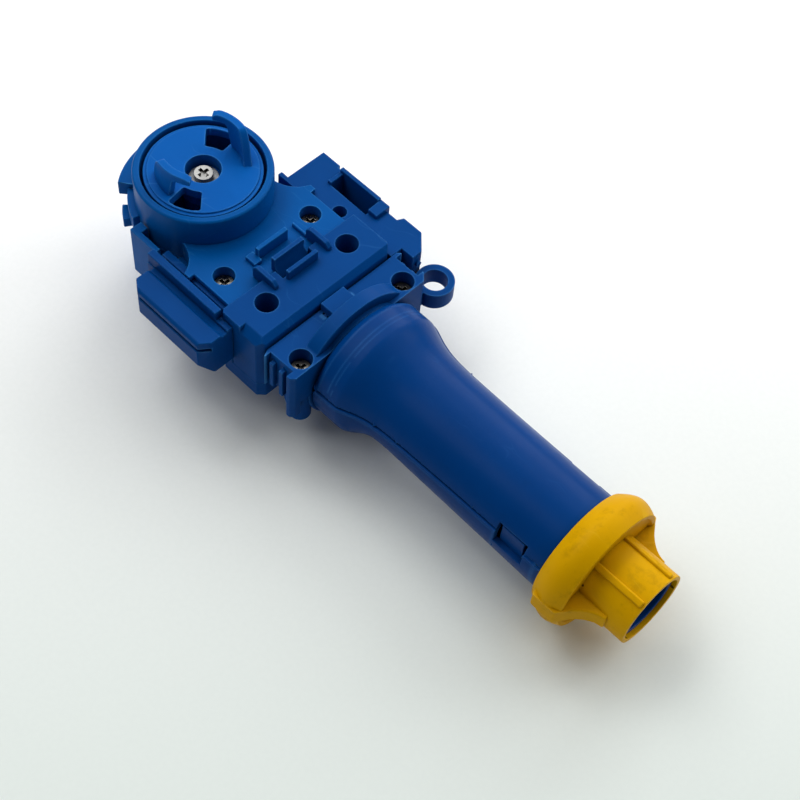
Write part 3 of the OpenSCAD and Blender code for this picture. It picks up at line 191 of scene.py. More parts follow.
class EffectKit:
    """The effects that several finishes share, each a node group that is built once."""

    AO_SAMPLES = 4
    EDGE_SPAN = (0.86, 0.42)
    CREVICE_SPAN = (0.75, 0.15)
    NOISE_SPAN = (0.3, 0.7)
    HAIRLINE_SPAN = (0.022, 0.004)
    GATE_SPAN = (0.52, 0.66)
    SCUFF_SPAN = (0.5, 0.72)
    SPECKS_FROM = 0.93

    def __init__(self) -> None:
        """Starts with no groups."""
        self._groups: dict[str, bpy.types.NodeTree] = {}

    def _open(self, name: str, takes: Sequence[tuple[str, str, Any]],
              gives: Sequence[tuple[str, str]]) -> tuple[NodeSketch, bpy.types.Node, bpy.types.Node]:
        """Opens a new group with its named sockets.

        Args:
            name: The group's name.
            takes: Name, socket type and first value of each input.
            gives: Name and socket type of each output.

        Returns:
            The sketch, the group's input node and its output node.
        """
        tree = bpy.data.node_groups.new(name, "ShaderNodeTree")
        for label, kind, value in takes:
            socket = tree.interface.new_socket(label, in_out="INPUT", socket_type=kind)
            if value is not None:
                socket.default_value = value
        for label, kind in gives:
            tree.interface.new_socket(label, in_out="OUTPUT", socket_type=kind)
        self._groups[name] = tree
        sketch = NodeSketch(tree)
        return sketch, sketch.add("NodeGroupInput"), sketch.add("NodeGroupOutput")

    def edge_finding(self) -> bpy.types.NodeTree:
        """Returns the group that finds a piece's outer edges and its crevices, the masks for the painted
        edge highlight and the painted crevice shade.
        """
        if "edge_finding" in self._groups:
            return self._groups["edge_finding"]
        sketch, enter, leave = self._open(
            "edge_finding",
            (("Edge Reach", "NodeSocketFloat", 0.6 * MM), ("Crevice Reach", "NodeSocketFloat", 3.0 * MM)),
            (("Edge", "NodeSocketFloat"), ("Crevice", "NodeSocketFloat")))
        inner = sketch.add("ShaderNodeAmbientOcclusion", {"Distance": enter.outputs["Edge Reach"]},
                           samples=self.AO_SAMPLES, inside=True, only_local=True)
        outer = sketch.add("ShaderNodeAmbientOcclusion", {"Distance": enter.outputs["Crevice Reach"]},
                           samples=self.AO_SAMPLES)
        edge = sketch.span(inner.outputs["AO"], *self.EDGE_SPAN)
        crevice = sketch.span(outer.outputs["AO"], *self.CREVICE_SPAN)
        sketch.feed(leave.inputs["Edge"], edge)
        sketch.feed(leave.inputs["Crevice"], crevice)
        return sketch.tree

    def mould_surface(self) -> bpy.types.NodeTree:
        """Returns the group for the fine grain and slow waves of a moulded surface."""
        if "mould_surface" in self._groups:
            return self._groups["mould_surface"]
        sketch, enter, leave = self._open(
            "mould_surface",
            (("Vector", "NodeSocketVector", None), ("Grain Scale", "NodeSocketFloat", 2600.0),
             ("Wave Scale", "NodeSocketFloat", 60.0), ("Wave Share", "NodeSocketFloat", 0.5)),
            (("Height", "NodeSocketFloat"), ("Mottle", "NodeSocketFloat"),
             ("Gloss Drift", "NodeSocketFloat")))
        vector = enter.outputs["Vector"]
        grain = sketch.add("ShaderNodeTexNoise", {"Vector": vector, "Scale": enter.outputs["Grain Scale"],
                                                  "Detail": 2.0, "Roughness": 0.55})
        wave = sketch.add("ShaderNodeTexNoise", {"Vector": vector, "Scale": enter.outputs["Wave Scale"],
                                                 "Detail": 4.0, "Roughness": 0.5, "Distortion": 0.3})
        slow = sketch.add("ShaderNodeTexNoise", {"Vector": vector, "Scale": 28.0, "Detail": 3.0})
        lifted = sketch.maths("MULTIPLY", wave.outputs[0], enter.outputs["Wave Share"])
        sketch.feed(leave.inputs["Height"], sketch.maths("ADD", grain.outputs[0], lifted))
        sketch.feed(leave.inputs["Mottle"], sketch.span(slow.outputs[0], *self.NOISE_SPAN))
        sketch.feed(leave.inputs["Gloss Drift"], sketch.span(wave.outputs[0], *self.NOISE_SPAN))
        return sketch.tree

    def handling_marks(self) -> bpy.types.NodeTree:
        """Returns the group for hairline scratches, scuffed patches and small specks."""
        if "handling_marks" in self._groups:
            return self._groups["handling_marks"]
        sketch, enter, leave = self._open(
            "handling_marks",
            (("Vector", "NodeSocketVector", None), ("Line Scale", "NodeSocketFloat", 90.0),
             ("Speck Scale", "NodeSocketFloat", 420.0), ("Speck Size", "NodeSocketFloat", 0.16)),
            (("Scratch", "NodeSocketFloat"), ("Scuff", "NodeSocketFloat"), ("Speck", "NodeSocketFloat")))
        vector = enter.outputs["Vector"]
        drift = sketch.add("ShaderNodeTexNoise", {"Vector": vector, "Scale": 130.0, "Detail": 1.0})
        bent = sketch.add("ShaderNodeVectorMath", {0: drift.outputs["Color"], "Scale": 6.0 * MM},
                          operation="SCALE")
        moved = sketch.add("ShaderNodeVectorMath", {0: vector, 1: bent.outputs[0]}, operation="ADD")
        turned = sketch.add("ShaderNodeMapping", {"Vector": moved.outputs[0], "Rotation": (0.4, 0.7, 0.5),
                                                  "Scale": (0.35, 1.6, 1.0)})
        cells = sketch.add("ShaderNodeTexVoronoi", {"Vector": turned.outputs[0],
                                                    "Scale": enter.outputs["Line Scale"]},
                           feature="DISTANCE_TO_EDGE")
        gate = sketch.add("ShaderNodeTexNoise", {"Vector": vector, "Scale": 75.0, "Detail": 2.0})
        line = sketch.maths("MULTIPLY", sketch.span(cells.outputs["Distance"], *self.HAIRLINE_SPAN),
                            sketch.span(gate.outputs[0], *self.GATE_SPAN))
        patch = sketch.add("ShaderNodeTexNoise", {"Vector": vector, "Scale": 170.0, "Detail": 5.0,
                                                  "Roughness": 0.7})
        dots = sketch.add("ShaderNodeTexVoronoi", {"Vector": vector, "Scale": enter.outputs["Speck Scale"]},
                          feature="F1")
        pick = sketch.add("ShaderNodeSeparateColor", {0: dots.outputs["Color"]})
        near = sketch.maths("LESS_THAN", dots.outputs["Distance"], enter.outputs["Speck Size"])
        chosen = sketch.maths("GREATER_THAN", pick.outputs[0], self.SPECKS_FROM)
        sketch.feed(leave.inputs["Scratch"], line)
        sketch.feed(leave.inputs["Scuff"], sketch.span(patch.outputs[0], *self.SCUFF_SPAN))
        sketch.feed(leave.inputs["Speck"], sketch.maths("MULTIPLY", near, chosen))
        return sketch.tree

    def place(self, sketch: NodeSketch, tree: bpy.types.NodeTree, inputs: dict[str, Any]) -> bpy.types.Node:
        """Puts a group into a material with its own values.

        Args:
            sketch: The material's sketch.
            tree: The group.
            inputs: The group's values and joined outputs.

        Returns:
            The group's node.
        """
        return sketch.add("ShaderNodeGroup", inputs, node_tree=tree)


EFFECTS = EffectKit()


@dataclass(frozen=True)
class MouldedPlastic:
    """A moulded plastic: its colour, its gloss, how handling has marked it, a painted highlight on its
    edges and painted shade in its crevices.
    """

    name: str
    colour: Colour
    deep: Colour
    # Pale colour for the painted highlight along edges, also used for real scratches.
    wear_and_highlight: Colour
    # Dark colour for the painted shade in crevices, also used for real scuffed patches.
    grime_and_shade: Colour
    roughness: float
    gloss_drift: float = 0.03
    specular: float = 0.035
    edge_reach: float = 0.6 * MM
    # How strongly the painted edge highlight lightens the outer edges.
    edge_highlight: float = 0.35
    # How strongly the painted crevice shade darkens the colour.
    painted_shade_share: float = 0.6
    scratch_share: float = 0.08
    scuff_share: float = 0.05
    speck_share: float = 0.0
    speck_scale: float = 420.0
    speck_colour: Colour = tone(38, 26, 12)
    scratch_dulling: float = 0.12
    scuff_dulling: float = 0.06
    scratch_depth: float = 0.8
    bump: float = 0.05
    bump_reach: float = 0.1 * MM

    def make(self) -> bpy.types.Material:
        """Builds the material.

        Returns:
            The finished material.
        """
        material, sketch = open_material(self.name)
        place = sketch.add("ShaderNodeTexCoord").outputs["Object"]
        edges = EFFECTS.place(sketch, EFFECTS.edge_finding(), {"Edge Reach": self.edge_reach})
        mould = EFFECTS.place(sketch, EFFECTS.mould_surface(), {"Vector": place})
        marks = EFFECTS.place(sketch, EFFECTS.handling_marks(),
                              {"Vector": place, "Speck Scale": self.speck_scale})
        colour = sketch.blend(mould.outputs["Mottle"], self.colour, self.deep)
        # Painted shade: corners, recesses and gaps between parts are darkened through the crevice mask.
        shaded_crevice = sketch.maths("MULTIPLY", edges.outputs["Crevice"], self.painted_shade_share)
        colour = sketch.blend(shaded_crevice, colour, self.grime_and_shade)
        # Real scuffed patches, in the same dark colour.
        scuffed = sketch.maths("MULTIPLY", marks.outputs["Scuff"], self.scuff_share)
        colour = sketch.blend(scuffed, colour, self.grime_and_shade)
        # Painted highlight: outer edges are lightened into a thin light line, varied by the gloss drift.
        lit_edge = sketch.maths("MULTIPLY", edges.outputs["Edge"],
                              sketch.span(mould.outputs["Gloss Drift"], 0.0, 1.0, 0.55, 1.0))
        lit_edge = sketch.maths("MULTIPLY", lit_edge, self.edge_highlight)
        colour = sketch.blend(lit_edge, colour, self.wear_and_highlight)
        # Real hairline scratches, in the same pale colour.
        scratched = sketch.maths("MULTIPLY", marks.outputs["Scratch"], self.scratch_share)
        colour = sketch.blend(scratched, colour, self.wear_and_highlight)
        if self.speck_share > 0:
            dotted = sketch.maths("MULTIPLY", marks.outputs["Speck"], self.speck_share)
            colour = sketch.blend(dotted, colour, self.speck_colour)
        gloss = sketch.span(mould.outputs["Gloss Drift"], 0.0, 1.0,
                            self.roughness - self.gloss_drift, self.roughness + self.gloss_drift)
        dulled = sketch.maths("MULTIPLY", marks.outputs["Scratch"], self.scratch_dulling)
        gloss = sketch.maths("ADD", gloss, dulled)
        dulled = sketch.maths("MULTIPLY", marks.outputs["Scuff"], self.scuff_dulling)
        gloss = sketch.maths("ADD", gloss, dulled, clamp=True)
        cut_in = sketch.maths("MULTIPLY", marks.outputs["Scratch"], self.scratch_depth)
        relief = sketch.maths("SUBTRACT", mould.outputs["Height"], cut_in)
        bump = sketch.add("ShaderNodeBump", {"Height": relief, "Strength": self.bump,
                                             "Distance": self.bump_reach})
        shader = sketch.add("ShaderNodeBsdfPrincipled",
                            {"Base Color": colour, "Roughness": gloss, "Normal": bump.outputs[0],
                             "Specular IOR Level": self.specular, "IOR": 1.5})
        sketch.add("ShaderNodeOutputMaterial", {"Surface": shader.outputs[0]})
        return material


@dataclass(frozen=True)
class PlatedMetal:
    """A small steel part, plated or plain, with painted shade darkening its corners and recesses."""

    name: str
    colour: Colour
    # Near-black colour for the painted shade in corners and recesses.
    corner_shade: Colour
    roughness: float
    crevice_reach: float = 1.2 * MM
    corner_shade_share: float = 0.9
    gloss_below: float = 0.08
    gloss_above: float = 0.12
    turning_scale: float = 900.0
    wave_scale: float = 320.0
    bump: float = 0.15
    bump_reach: float = 0.05 * MM

    def make(self) -> bpy.types.Material:
        """Builds the material.

        Returns:
            The finished material.
        """
        material, sketch = open_material(self.name)
        place = sketch.add("ShaderNodeTexCoord").outputs["Object"]
        edges = EFFECTS.place(sketch, EFFECTS.edge_finding(), {"Crevice Reach": self.crevice_reach})
        mould = EFFECTS.place(sketch, EFFECTS.mould_surface(),
                              {"Vector": place, "Grain Scale": self.turning_scale,
                               "Wave Scale": self.wave_scale})
        # Painted shade: corners and recesses, such as a screw head down in its hole or the cross slot, are
        # darkened nearly to black.
        shaded_corners = sketch.maths("MULTIPLY", edges.outputs["Crevice"], self.corner_shade_share)
        colour = sketch.blend(shaded_corners, self.colour, self.corner_shade)
        gloss = sketch.span(mould.outputs["Gloss Drift"], 0.0, 1.0,
                            self.roughness - self.gloss_below, self.roughness + self.gloss_above)
        bump = sketch.add("ShaderNodeBump", {"Height": mould.outputs["Height"],
                                             "Strength": self.bump, "Distance": self.bump_reach})
        shader = sketch.add("ShaderNodeBsdfPrincipled",
                            {"Base Color": colour, "Roughness": gloss, "Normal": bump.outputs[0],
                             "Metallic": 1.0})
        sketch.add("ShaderNodeOutputMaterial", {"Surface": shader.outputs[0]})
        return material


# For each plastic the fourth colour is the painted edge highlight, also used for scratches, and the fifth
# is the painted crevice shade, also used for scuffs.
AZURE = MouldedPlastic("azure_moulding", tone(0, 83, 156), tone(0, 78, 148), tone(66, 150, 212),
                       tone(0, 20, 62), 0.34, edge_highlight=0.8)
ROTOR_BLUE = MouldedPlastic("rotor_moulding", tone(4, 92, 175), tone(2, 86, 167), tone(84, 160, 218),
                            tone(2, 24, 66), 0.36, edge_highlight=0.75, scratch_share=0.15)
GRIP_BLUE = MouldedPlastic("grip_moulding", tone(0, 66, 134), tone(0, 62, 127), tone(66, 134, 198),
                           tone(0, 14, 46), 0.36, edge_highlight=0.75)
HANDLE_BLUE = MouldedPlastic("handle_moulding", tone(0, 58, 124), tone(0, 55, 119), tone(50, 112, 178),
                             tone(0, 16, 52), 0.3, edge_highlight=0.4, scratch_share=0.06, specular=0.05,
                             gloss_drift=0.015, bump=0.03)
CAP_YELLOW = MouldedPlastic("cap_moulding", tone(218, 165, 0), tone(209, 155, 0), tone(242, 206, 70),
                            tone(84, 56, 4), 0.4, edge_highlight=0.4, scuff_share=0.22, scratch_share=0.12,
                            speck_share=0.85, speck_scale=260.0)
GEAR_WHITE = MouldedPlastic("gear_moulding", tone(232, 229, 218), tone(222, 218, 205), tone(244, 242, 236),
                            tone(150, 144, 130), 0.48)
# For each metal the second colour is the painted shade in its corners; a longer crevice reach darkens
# screws deeper in their holes.
BRIGHT_ZINC = PlatedMetal("bright_zinc", tone(150, 150, 148), tone(2, 2, 3), 0.34, crevice_reach=1.3 * MM)
SCREW_STEEL = PlatedMetal("screw_plating", tone(150, 146, 136), tone(4, 4, 5), 0.24, crevice_reach=4.0 * MM)
WASHER_STEEL = PlatedMetal("washer_plating", tone(128, 130, 132), tone(3, 4, 6), 0.42,
                           crevice_reach=1.8 * MM)
SPRING_STEEL = PlatedMetal("spring_wire", tone(190, 192, 194), tone(50, 50, 52), 0.3)


@dataclass(frozen=True)
class EdgeBand:
    """Edges round the rotor's upright axis that take a radius of their own."""

    near: float
    far: float
    low: float
    high: float
    upright: bool
    reach: float
    steps: int = 3
    turned_from: float = 45.0
    upright_share: float = 0.9
    centre_x: float = -75.15 * MM

    def holds(self, edge: bmesh.types.BMEdge) -> bool:
        """Tells whether an edge is one of the band's.

        Args:
            edge: The edge.

        Returns:
            Whether it takes the band's radius.
        """
        for vert in edge.verts:
            out = math.hypot(vert.co.x - self.centre_x, vert.co.y)
            if not (self.near < out < self.far and self.low < vert.co.z < self.high):
                return False
        run = edge.verts[1].co - edge.verts[0].co
        stands = abs(run.z) > self.upright_share * run.length
        turned = len(edge.link_faces) == 2 and edge.calc_face_angle() > math.radians(self.turned_from)
        return turned and stands == self.upright and edge.is_convex != self.upright


@dataclass(frozen=True)
class FinishedPart:
    """One CAD node with its finish, and how far its moulded or rolled edges are rounded."""

    node: str
    body: Body
    slot: str
    finish: Union[MouldedPlastic, PlatedMetal]
    edge: float = 0.3 * MM
    steps: int = 2
    sharp_from: float = 28.0
    tight_share: float = 0.35
    room_share: float = 2.2
    bands: tuple[EdgeBand, ...] = ()
    still_share: float = 2.0

    def material(self) -> bpy.types.Material:
        """Returns the part's finish, made once and shared."""
        return bpy.data.materials.get(self.finish.name) or self.finish.make()

    def round_off(self) -> bpy.types.Object:
        """Builds the part with rounded edges, as a merged copy of its CAD node.

        Returns:
            The finished piece, which stands for the node.
        """
        mesh = bmesh.new()
        mesh.from_mesh(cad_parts[self.node].data)
        bmesh.ops.remove_doubles(mesh, verts=mesh.verts, dist=MERGE_REACH)
        bmesh.ops.dissolve_limit(mesh, angle_limit=math.radians(FLAT_ANGLE), use_dissolve_boundaries=False,
                                 verts=mesh.verts, edges=mesh.edges, delimit=set())
        self.reshape(mesh)
        later = mesh.edges.layers.int.new("rounded_later")
        wide, tight = self.sort_edges(mesh)
        for edge in tight:
            edge[later] = 1
        self.bevel(mesh, wide, self.edge, self.steps)
        tight = [edge for edge in mesh.edges if edge[later] == 1]
        self.bevel(mesh, tight, self.edge * self.tight_share, self.steps)
        for face in mesh.faces:
            face.smooth = True
        for edge in mesh.edges:
            shared = len(edge.link_faces) == 2
            edge.smooth = shared and edge.calc_face_angle() < math.radians(SMOOTH_ANGLE)
        data = bpy.data.meshes.new(f"{self.node}_finished")
        mesh.to_mesh(data)
        mesh.free()
        if "custom_normal" in data.attributes:
            data.attributes.remove(data.attributes["custom_normal"])
        data.materials.clear()
        data.materials.append(self.material())
        piece = bpy.data.objects.new(f"{self.node}_finished", data)
        bpy.context.scene.collection.objects.link(piece)
        even = piece.modifiers.new("even_shading", "WEIGHTED_NORMAL")
        even.keep_sharp = True
        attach(piece, self.body.value)
        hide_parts(self.node)
        return piece

    def reshape(self, mesh: bmesh.types.BMesh) -> None:
        """Rounds the bands of edges that have a radius of their own.

        Args:
            mesh: The merged copy.
        """
        for band in self.bands:
            picked = [edge for edge in mesh.edges if band.holds(edge)]
            self.bevel(mesh, picked, band.reach, band.steps)
            LOG.info("%s: %d edges in a band", self.node, len(picked))

    def sort_edges(self, mesh: bmesh.types.BMesh
                   ) -> tuple[list[bmesh.types.BMEdge], list[bmesh.types.BMEdge]]:
        """Finds the outer edges that take the full radius, and those with too little room for it.

        Args:
            mesh: The merged copy.

        Returns:
            The edges with room, and the edges that take the small radius.
        """
        found = [edge for edge in mesh.edges
                 if len(edge.link_faces) == 2 and edge.is_convex
                 and edge.calc_face_angle() > math.radians(self.sharp_from)]
        sharp = set(found)
        wide: list[bmesh.types.BMEdge] = []
        tight: list[bmesh.types.BMEdge] = []
        for edge in found:
            room = min(self.room(edge, face, sharp) for face in edge.link_faces)
            if room > self.edge * self.room_share:
                wide.append(edge)
            elif room > self.edge * self.tight_share * self.room_share:
                tight.append(edge)
        return wide, tight

    def room(self, edge: bmesh.types.BMEdge, face: bmesh.types.BMFace,
             sharp: set[bmesh.types.BMEdge]) -> float:
        """Measures how far the next edge across a face is from an edge.

        Args:
            edge: The edge that would be rounded.
            face: The face beside it.
            sharp: All the edges that would be rounded.

        Returns:
            The least distance, doubled where the other edge stays as it is.
        """
        least = math.inf
        near = set(edge.verts)
        middle = (edge.verts[0].co + edge.verts[1].co) / 2
        for other in face.edges:
            if near.intersection(other.verts):
                continue
            share = 1.0 if other in sharp else self.still_share
            start, end = (vert.co for vert in other.verts)
            for point in (middle, edge.verts[0].co, edge.verts[1].co):
                least = min(least, share * self.gap(point, start, end))
            for point in (start, end):
                least = min(least, share * self.gap(point, edge.verts[0].co, edge.verts[1].co))
        return least

    def gap(self, point: Vector, start: Vector, end: Vector) -> float:
        """Measures how far a point is from a straight run.

        Args:
            point: The point.
            start: Where the run starts.
            end: Where the run ends.

        Returns:
            The distance to the nearest place on the run.
        """
        _, along = intersect_point_line(point, start, end)
        return (point - start.lerp(end, min(1.0, max(0.0, along)))).length

    def bevel(self, mesh: bmesh.types.BMesh, edges: list[bmesh.types.BMEdge], radius: float,
              steps: int) -> None:
        """Rounds some of a mesh's edges.

        Args:
            mesh: The mesh.
            edges: The edges.
            radius: How far the rounding reaches on each side.
            steps: How many faces the rounding has.
        """
        if edges:
            bmesh.ops.bevel(mesh, geom=edges, offset=radius, offset_type="OFFSET", segments=steps,
                            profile=0.5, affect="EDGES", clamp_overlap=False, loop_slide=True, material=-1)

    def dress(self) -> bpy.types.Object:
        """Gives the CAD node itself its finish.

        Returns:
            The node's object.
        """
        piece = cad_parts[self.node]
        for spot in piece.material_slots:
            spot.material = self.material()
        return piece

    def build(self) -> bpy.types.Object:
        """Builds or dresses the part.

        Returns:
            The shown object.
        """
        piece = self.round_off() if self.edge > 0 else self.dress()
        LOG.info("%s: %s, %d faces", piece.name, self.finish.name, len(piece.data.polygons))
        return piece


@dataclass(frozen=True)
class ShellCurve:
    """How a handle shell's radius runs along the handle, in the CAD frame."""

    front_x: float = -8.25 * MM
    end_x: float = 74.15 * MM
    flare_len: float = 9.1 * MM
    flare_r: float = 20.4 * MM
    grip_r: float = 15.8 * MM
    slow_rise: float = 1.3 * MM
    slow_fall: float = 22.0 * MM
    flare_fall: float = 7.0 * MM
    flare_power: float = 1.5
    swell_x: float = 16.85 * MM
    swell_share: float = 0.0
    edge_len: float = 1.8 * MM
    edge_in: float = 1.4 * MM

    def radius(self, x: float) -> float:
        """Works out the shell's radius at one place.

        Args:
            x: The place along the handle.

        Returns:
            The radius there.
        """
        past = max(0.0, x - self.front_x - self.flare_len)
        fall = math.exp(-((past / self.flare_fall) ** self.flare_power))
        grip = self.grip_r + self.slow_rise * math.exp(-past / self.slow_fall)
        swell = max(0.0, x - self.swell_x) * self.swell_share
        edge = self.edge_in * max(0.0, 1.0 - (x - self.front_x) / self.edge_len)
        return grip + swell + (self.flare_r - self.grip_r - self.slow_rise) * fall - edge


@dataclass(frozen=True)
class HandleShell(FinishedPart):
    """A handle shell drawn with the full sweep of its flare and waist."""

    curve: ShellCurve = ShellCurve()
    upper: bool = True
    axis_z: float = 20.7 * MM
    seam_rise: float = 5.3 * MM
    cad_front_x: float = -7.65 * MM
    wall: float = 2.2 * MM
    cuts_end_x: float = 54.0 * MM
    rings: int = 64
    crowding: float = 1.25
    slice_len: float = 0.01 * MM
    slack: float = 0.02 * MM
    cut_reach: float = 0.002 * MM

    def reshape(self, mesh: bmesh.types.BMesh) -> None:
        """Cuts the copy into narrow rings and draws each out to the shell's curve.

        Args:
            mesh: The merged copy.
        """
        for ring in range(1, self.rings):
            share = (ring / self.rings) ** self.crowding
            place = self.cad_front_x + (self.cuts_end_x - self.cad_front_x) * share
            self.cut(mesh, (place, 0.0, 0.0), (1.0, 0.0, 0.0))
        low, high = self.cad_front_x - self.slack, self.curve.end_x + self.slack
        reach: dict[int, float] = {}
        for vert in mesh.verts:
            key = round(vert.co.x / self.slice_len)
            reach[key] = max(reach.get(key, 0.0), self.from_axis(vert.co))
        hull = [key for key in sorted(reach) if low <= key * self.slice_len <= high
                and reach[key] > self.curve.grip_r - self.wall / 2]
        for vert in mesh.verts:
            if not low <= vert.co.x <= high:
                continue
            old = self.between(hull, reach, vert.co.x / self.slice_len)
            if self.from_axis(vert.co) > old - self.wall:
                self.draw_out(vert, old)

    def cut(self, mesh: bmesh.types.BMesh, place: tuple[float, float, float],
            normal: tuple[float, float, float]) -> None:
        """Cuts every face of the copy along a plane.

        Args:
            mesh: The merged copy.
            place: A point of the plane.
            normal: The plane's direction.
        """
        bmesh.ops.bisect_plane(mesh, geom=mesh.verts[:] + mesh.edges[:] + mesh.faces[:],
                               dist=self.cut_reach, plane_co=place, plane_no=normal)

    def from_axis(self, place: Vector) -> float:
        """Returns how far a point is from the handle's axis."""
        return math.hypot(place.y, place.z - self.axis_z)

    def between(self, keys: list[int], reach: dict[int, float], key: float) -> float:
        """Reads the copy's own outer radius between two of its rings.

        Args:
            keys: The rings' places in order.
            reach: The outer radius at each ring.
            key: The place that is asked for.

        Returns:
            The outer radius there.
        """
        spot = min(max(bisect.bisect_left(keys, key), 1), len(keys) - 1)
        low, high = keys[spot - 1], keys[spot]
        share = min(1.0, max(0.0, (key - low) / (high - low)))
        return reach[low] + (reach[high] - reach[low]) * share

    def draw_out(self, vert: bmesh.types.BMVert, old: float) -> None:
        """Moves one point out or in to the curve, with the seam kept flat.

        Args:
            vert: The point.
            old: The copy's outer radius at its place.
        """
        front = vert.co.x < self.cad_front_x + self.slack
        place = self.curve.front_x if front else vert.co.x
        was = self.from_axis(vert.co)
        now = was + self.curve.radius(place) - old
        pole = math.pi / 2 if self.upper else -math.pi / 2
        angle = math.atan2(vert.co.z - self.axis_z, abs(vert.co.y))
        seam_was = math.asin(min(1.0, self.seam_rise / was))
        seam_now = math.asin(min(1.0, self.seam_rise / now))
        angle = pole + (angle - pole) * (seam_now - pole) / (seam_was - pole)
        side = math.copysign(1.0, vert.co.y)
        vert.co = Vector((place, side * now * math.cos(angle), self.axis_z + now * math.sin(angle)))


@dataclass(frozen=True)
class LowerShell(HandleShell):
    """The lower shell, with the narrow ledge that stands out along its seam."""

    upper: bool = False
    cover: ShellCurve = ShellCurve()
    ledge_low: float = 4.1 * MM
    ledge_high: float = 4.9 * MM
    ledge_out: float = 0.45 * MM
    ledge_end_in: float = 0.5 * MM
    skin: float = 0.3 * MM
    across: float = 0.7

    def reshape(self, mesh: bmesh.types.BMesh) -> None:
        """Draws the shell to its curve, then pulls the ledge out of it.

        Args:
            mesh: The merged copy.
        """
        super().reshape(mesh)
        for rise in (self.ledge_low, self.ledge_high):
            self.cut(mesh, (0.0, 0.0, self.axis_z + rise), (0.0, 0.0, 1.0))
        band = [face for face in mesh.faces if self.in_ledge(face)]
        grown = bmesh.ops.extrude_face_region(mesh, geom=band)
        bmesh.ops.delete(mesh, geom=band, context="FACES")
        for item in grown["geom"]:
            if isinstance(item, bmesh.types.BMVert):
                rise = item.co.z - self.axis_z
                out = self.cover.radius(max(item.co.x, self.curve.front_x)) + self.ledge_out
                item.co.y = math.copysign(math.sqrt(out * out - rise * rise), item.co.y)

    def in_ledge(self, face: bmesh.types.BMFace) -> bool:
        """Tells whether a face is on the outer side of the shell where the ledge stands.

        Args:
            face: The face.

        Returns:
            Whether the ledge grows out of it.
        """
        middle = face.calc_center_median()
        rise = middle.z - self.axis_z
        if not self.ledge_low < rise < self.ledge_high:
            return False
        if not self.curve.front_x + self.curve.edge_len < middle.x < self.curve.end_x - self.ledge_end_in:
            return False
        outside = self.from_axis(middle) > self.curve.radius(middle.x) - self.skin
        return outside and abs(face.normal.x) < self.across


@dataclass
class SubAssembly:
    """A group of parts that are put together before they join the rest."""

    parts: tuple[FinishedPart, ...] = ()

    def build(self) -> None:
        """Builds every part of the group in order."""
        for part in self.parts:
            part.build()


CUP_RIM = EdgeBand(20.3 * MM, 20.7 * MM, 44.8 * MM, 45.0 * MM, False, 0.75 * MM, 2)
WINDOW_CORNERS = EdgeBand(8.2 * MM, 16.0 * MM, 39.0 * MM, 44.6 * MM, True, 0.8 * MM)


@dataclass
class LauncherCase(SubAssembly):
    """The launcher's two case halves and their screws."""

    parts: tuple[FinishedPart, ...] = (
        FinishedPart("launcher_upper_case", Body.BASE, "azure_plastic", AZURE, bands=(CUP_RIM,)),
        FinishedPart("launcher_lower_case", Body.BASE, "azure_plastic", AZURE),
        FinishedPart("launcher_screws", Body.BASE, "screw_steel", SCREW_STEEL, 0.08 * MM),
    )


@dataclass
class SpinningRotor(SubAssembly):
    """The rotor with its hooks, screw, washer and gear."""

    parts: tuple[FinishedPart, ...] = (
        FinishedPart("rotor", Body.ROTOR, "rotor_plastic", ROTOR_BLUE, bands=(WINDOW_CORNERS,)),
        FinishedPart("rotor_washer", Body.ROTOR, "washer_steel", WASHER_STEEL, 0.15 * MM),
        FinishedPart("rotor_screw", Body.ROTOR, "screw_steel", BRIGHT_ZINC, 0.1 * MM),
        FinishedPart("drive_gear", Body.ROTOR, "gear_plastic", GEAR_WHITE, 0.12 * MM),
    )


@dataclass
class GripHead(SubAssembly):
    """The head with its side blocks, collar and screws."""

    parts: tuple[FinishedPart, ...] = (
        FinishedPart("head_upper", Body.BASE, "grip_plastic", GRIP_BLUE),
        FinishedPart("head_lower", Body.BASE, "grip_plastic", GRIP_BLUE),
        FinishedPart("head_screws", Body.BASE, "screw_steel", SCREW_STEEL, 0.08 * MM),
        FinishedPart("side_rail_block", Body.BASE, "grip_plastic", GRIP_BLUE, 0.35 * MM),
        FinishedPart("side_socket_plate", Body.BASE, "grip_plastic", GRIP_BLUE),
        FinishedPart("collar_upper", Body.BASE, "grip_plastic", GRIP_BLUE),
        FinishedPart("collar_lower", Body.BASE, "grip_plastic", GRIP_BLUE),
        FinishedPart("collar_screws", Body.BASE, "screw_steel", SCREW_STEEL, 0.08 * MM),
    )


@dataclass
class ReleaseLatch(SubAssembly):
    """The finger lever, its pin and its spring."""

    parts: tuple[FinishedPart, ...] = (
        FinishedPart("latch_lever", Body.LATCH, "grip_plastic", GRIP_BLUE, 0.2 * MM),
        FinishedPart("latch_pin", Body.BASE, "screw_steel", SCREW_STEEL, 0.1 * MM),
        FinishedPart("latch_spring", Body.BASE, "spring_steel", SPRING_STEEL, 0.0),
    )


LOWER_CURVE = ShellCurve(flare_r=19.4 * MM, grip_r=14.9 * MM, slow_rise=0.0, flare_fall=5.4 * MM,
                         flare_power=1.8, swell_share=0.018, edge_in=0.0)


@dataclass
class Handle(SubAssembly):
    """The handle's two shells and the tube inside."""

    parts: tuple[FinishedPart, ...] = (
        HandleShell("handle_upper", Body.BASE, "handle_plastic", HANDLE_BLUE),
        LowerShell("handle_lower", Body.BASE, "handle_plastic", HANDLE_BLUE, curve=LOWER_CURVE),
        FinishedPart("core_tube", Body.BASE, "handle_plastic", HANDLE_BLUE, 0.25 * MM),
    )


@dataclass
class TurningCap(SubAssembly):
    """The yellow cap at the handle's end."""

    parts: tuple[FinishedPart, ...] = (
        FinishedPart("pommel_cap", Body.CAP, "yellow_plastic", CAP_YELLOW, 0.5 * MM, 3),
    )


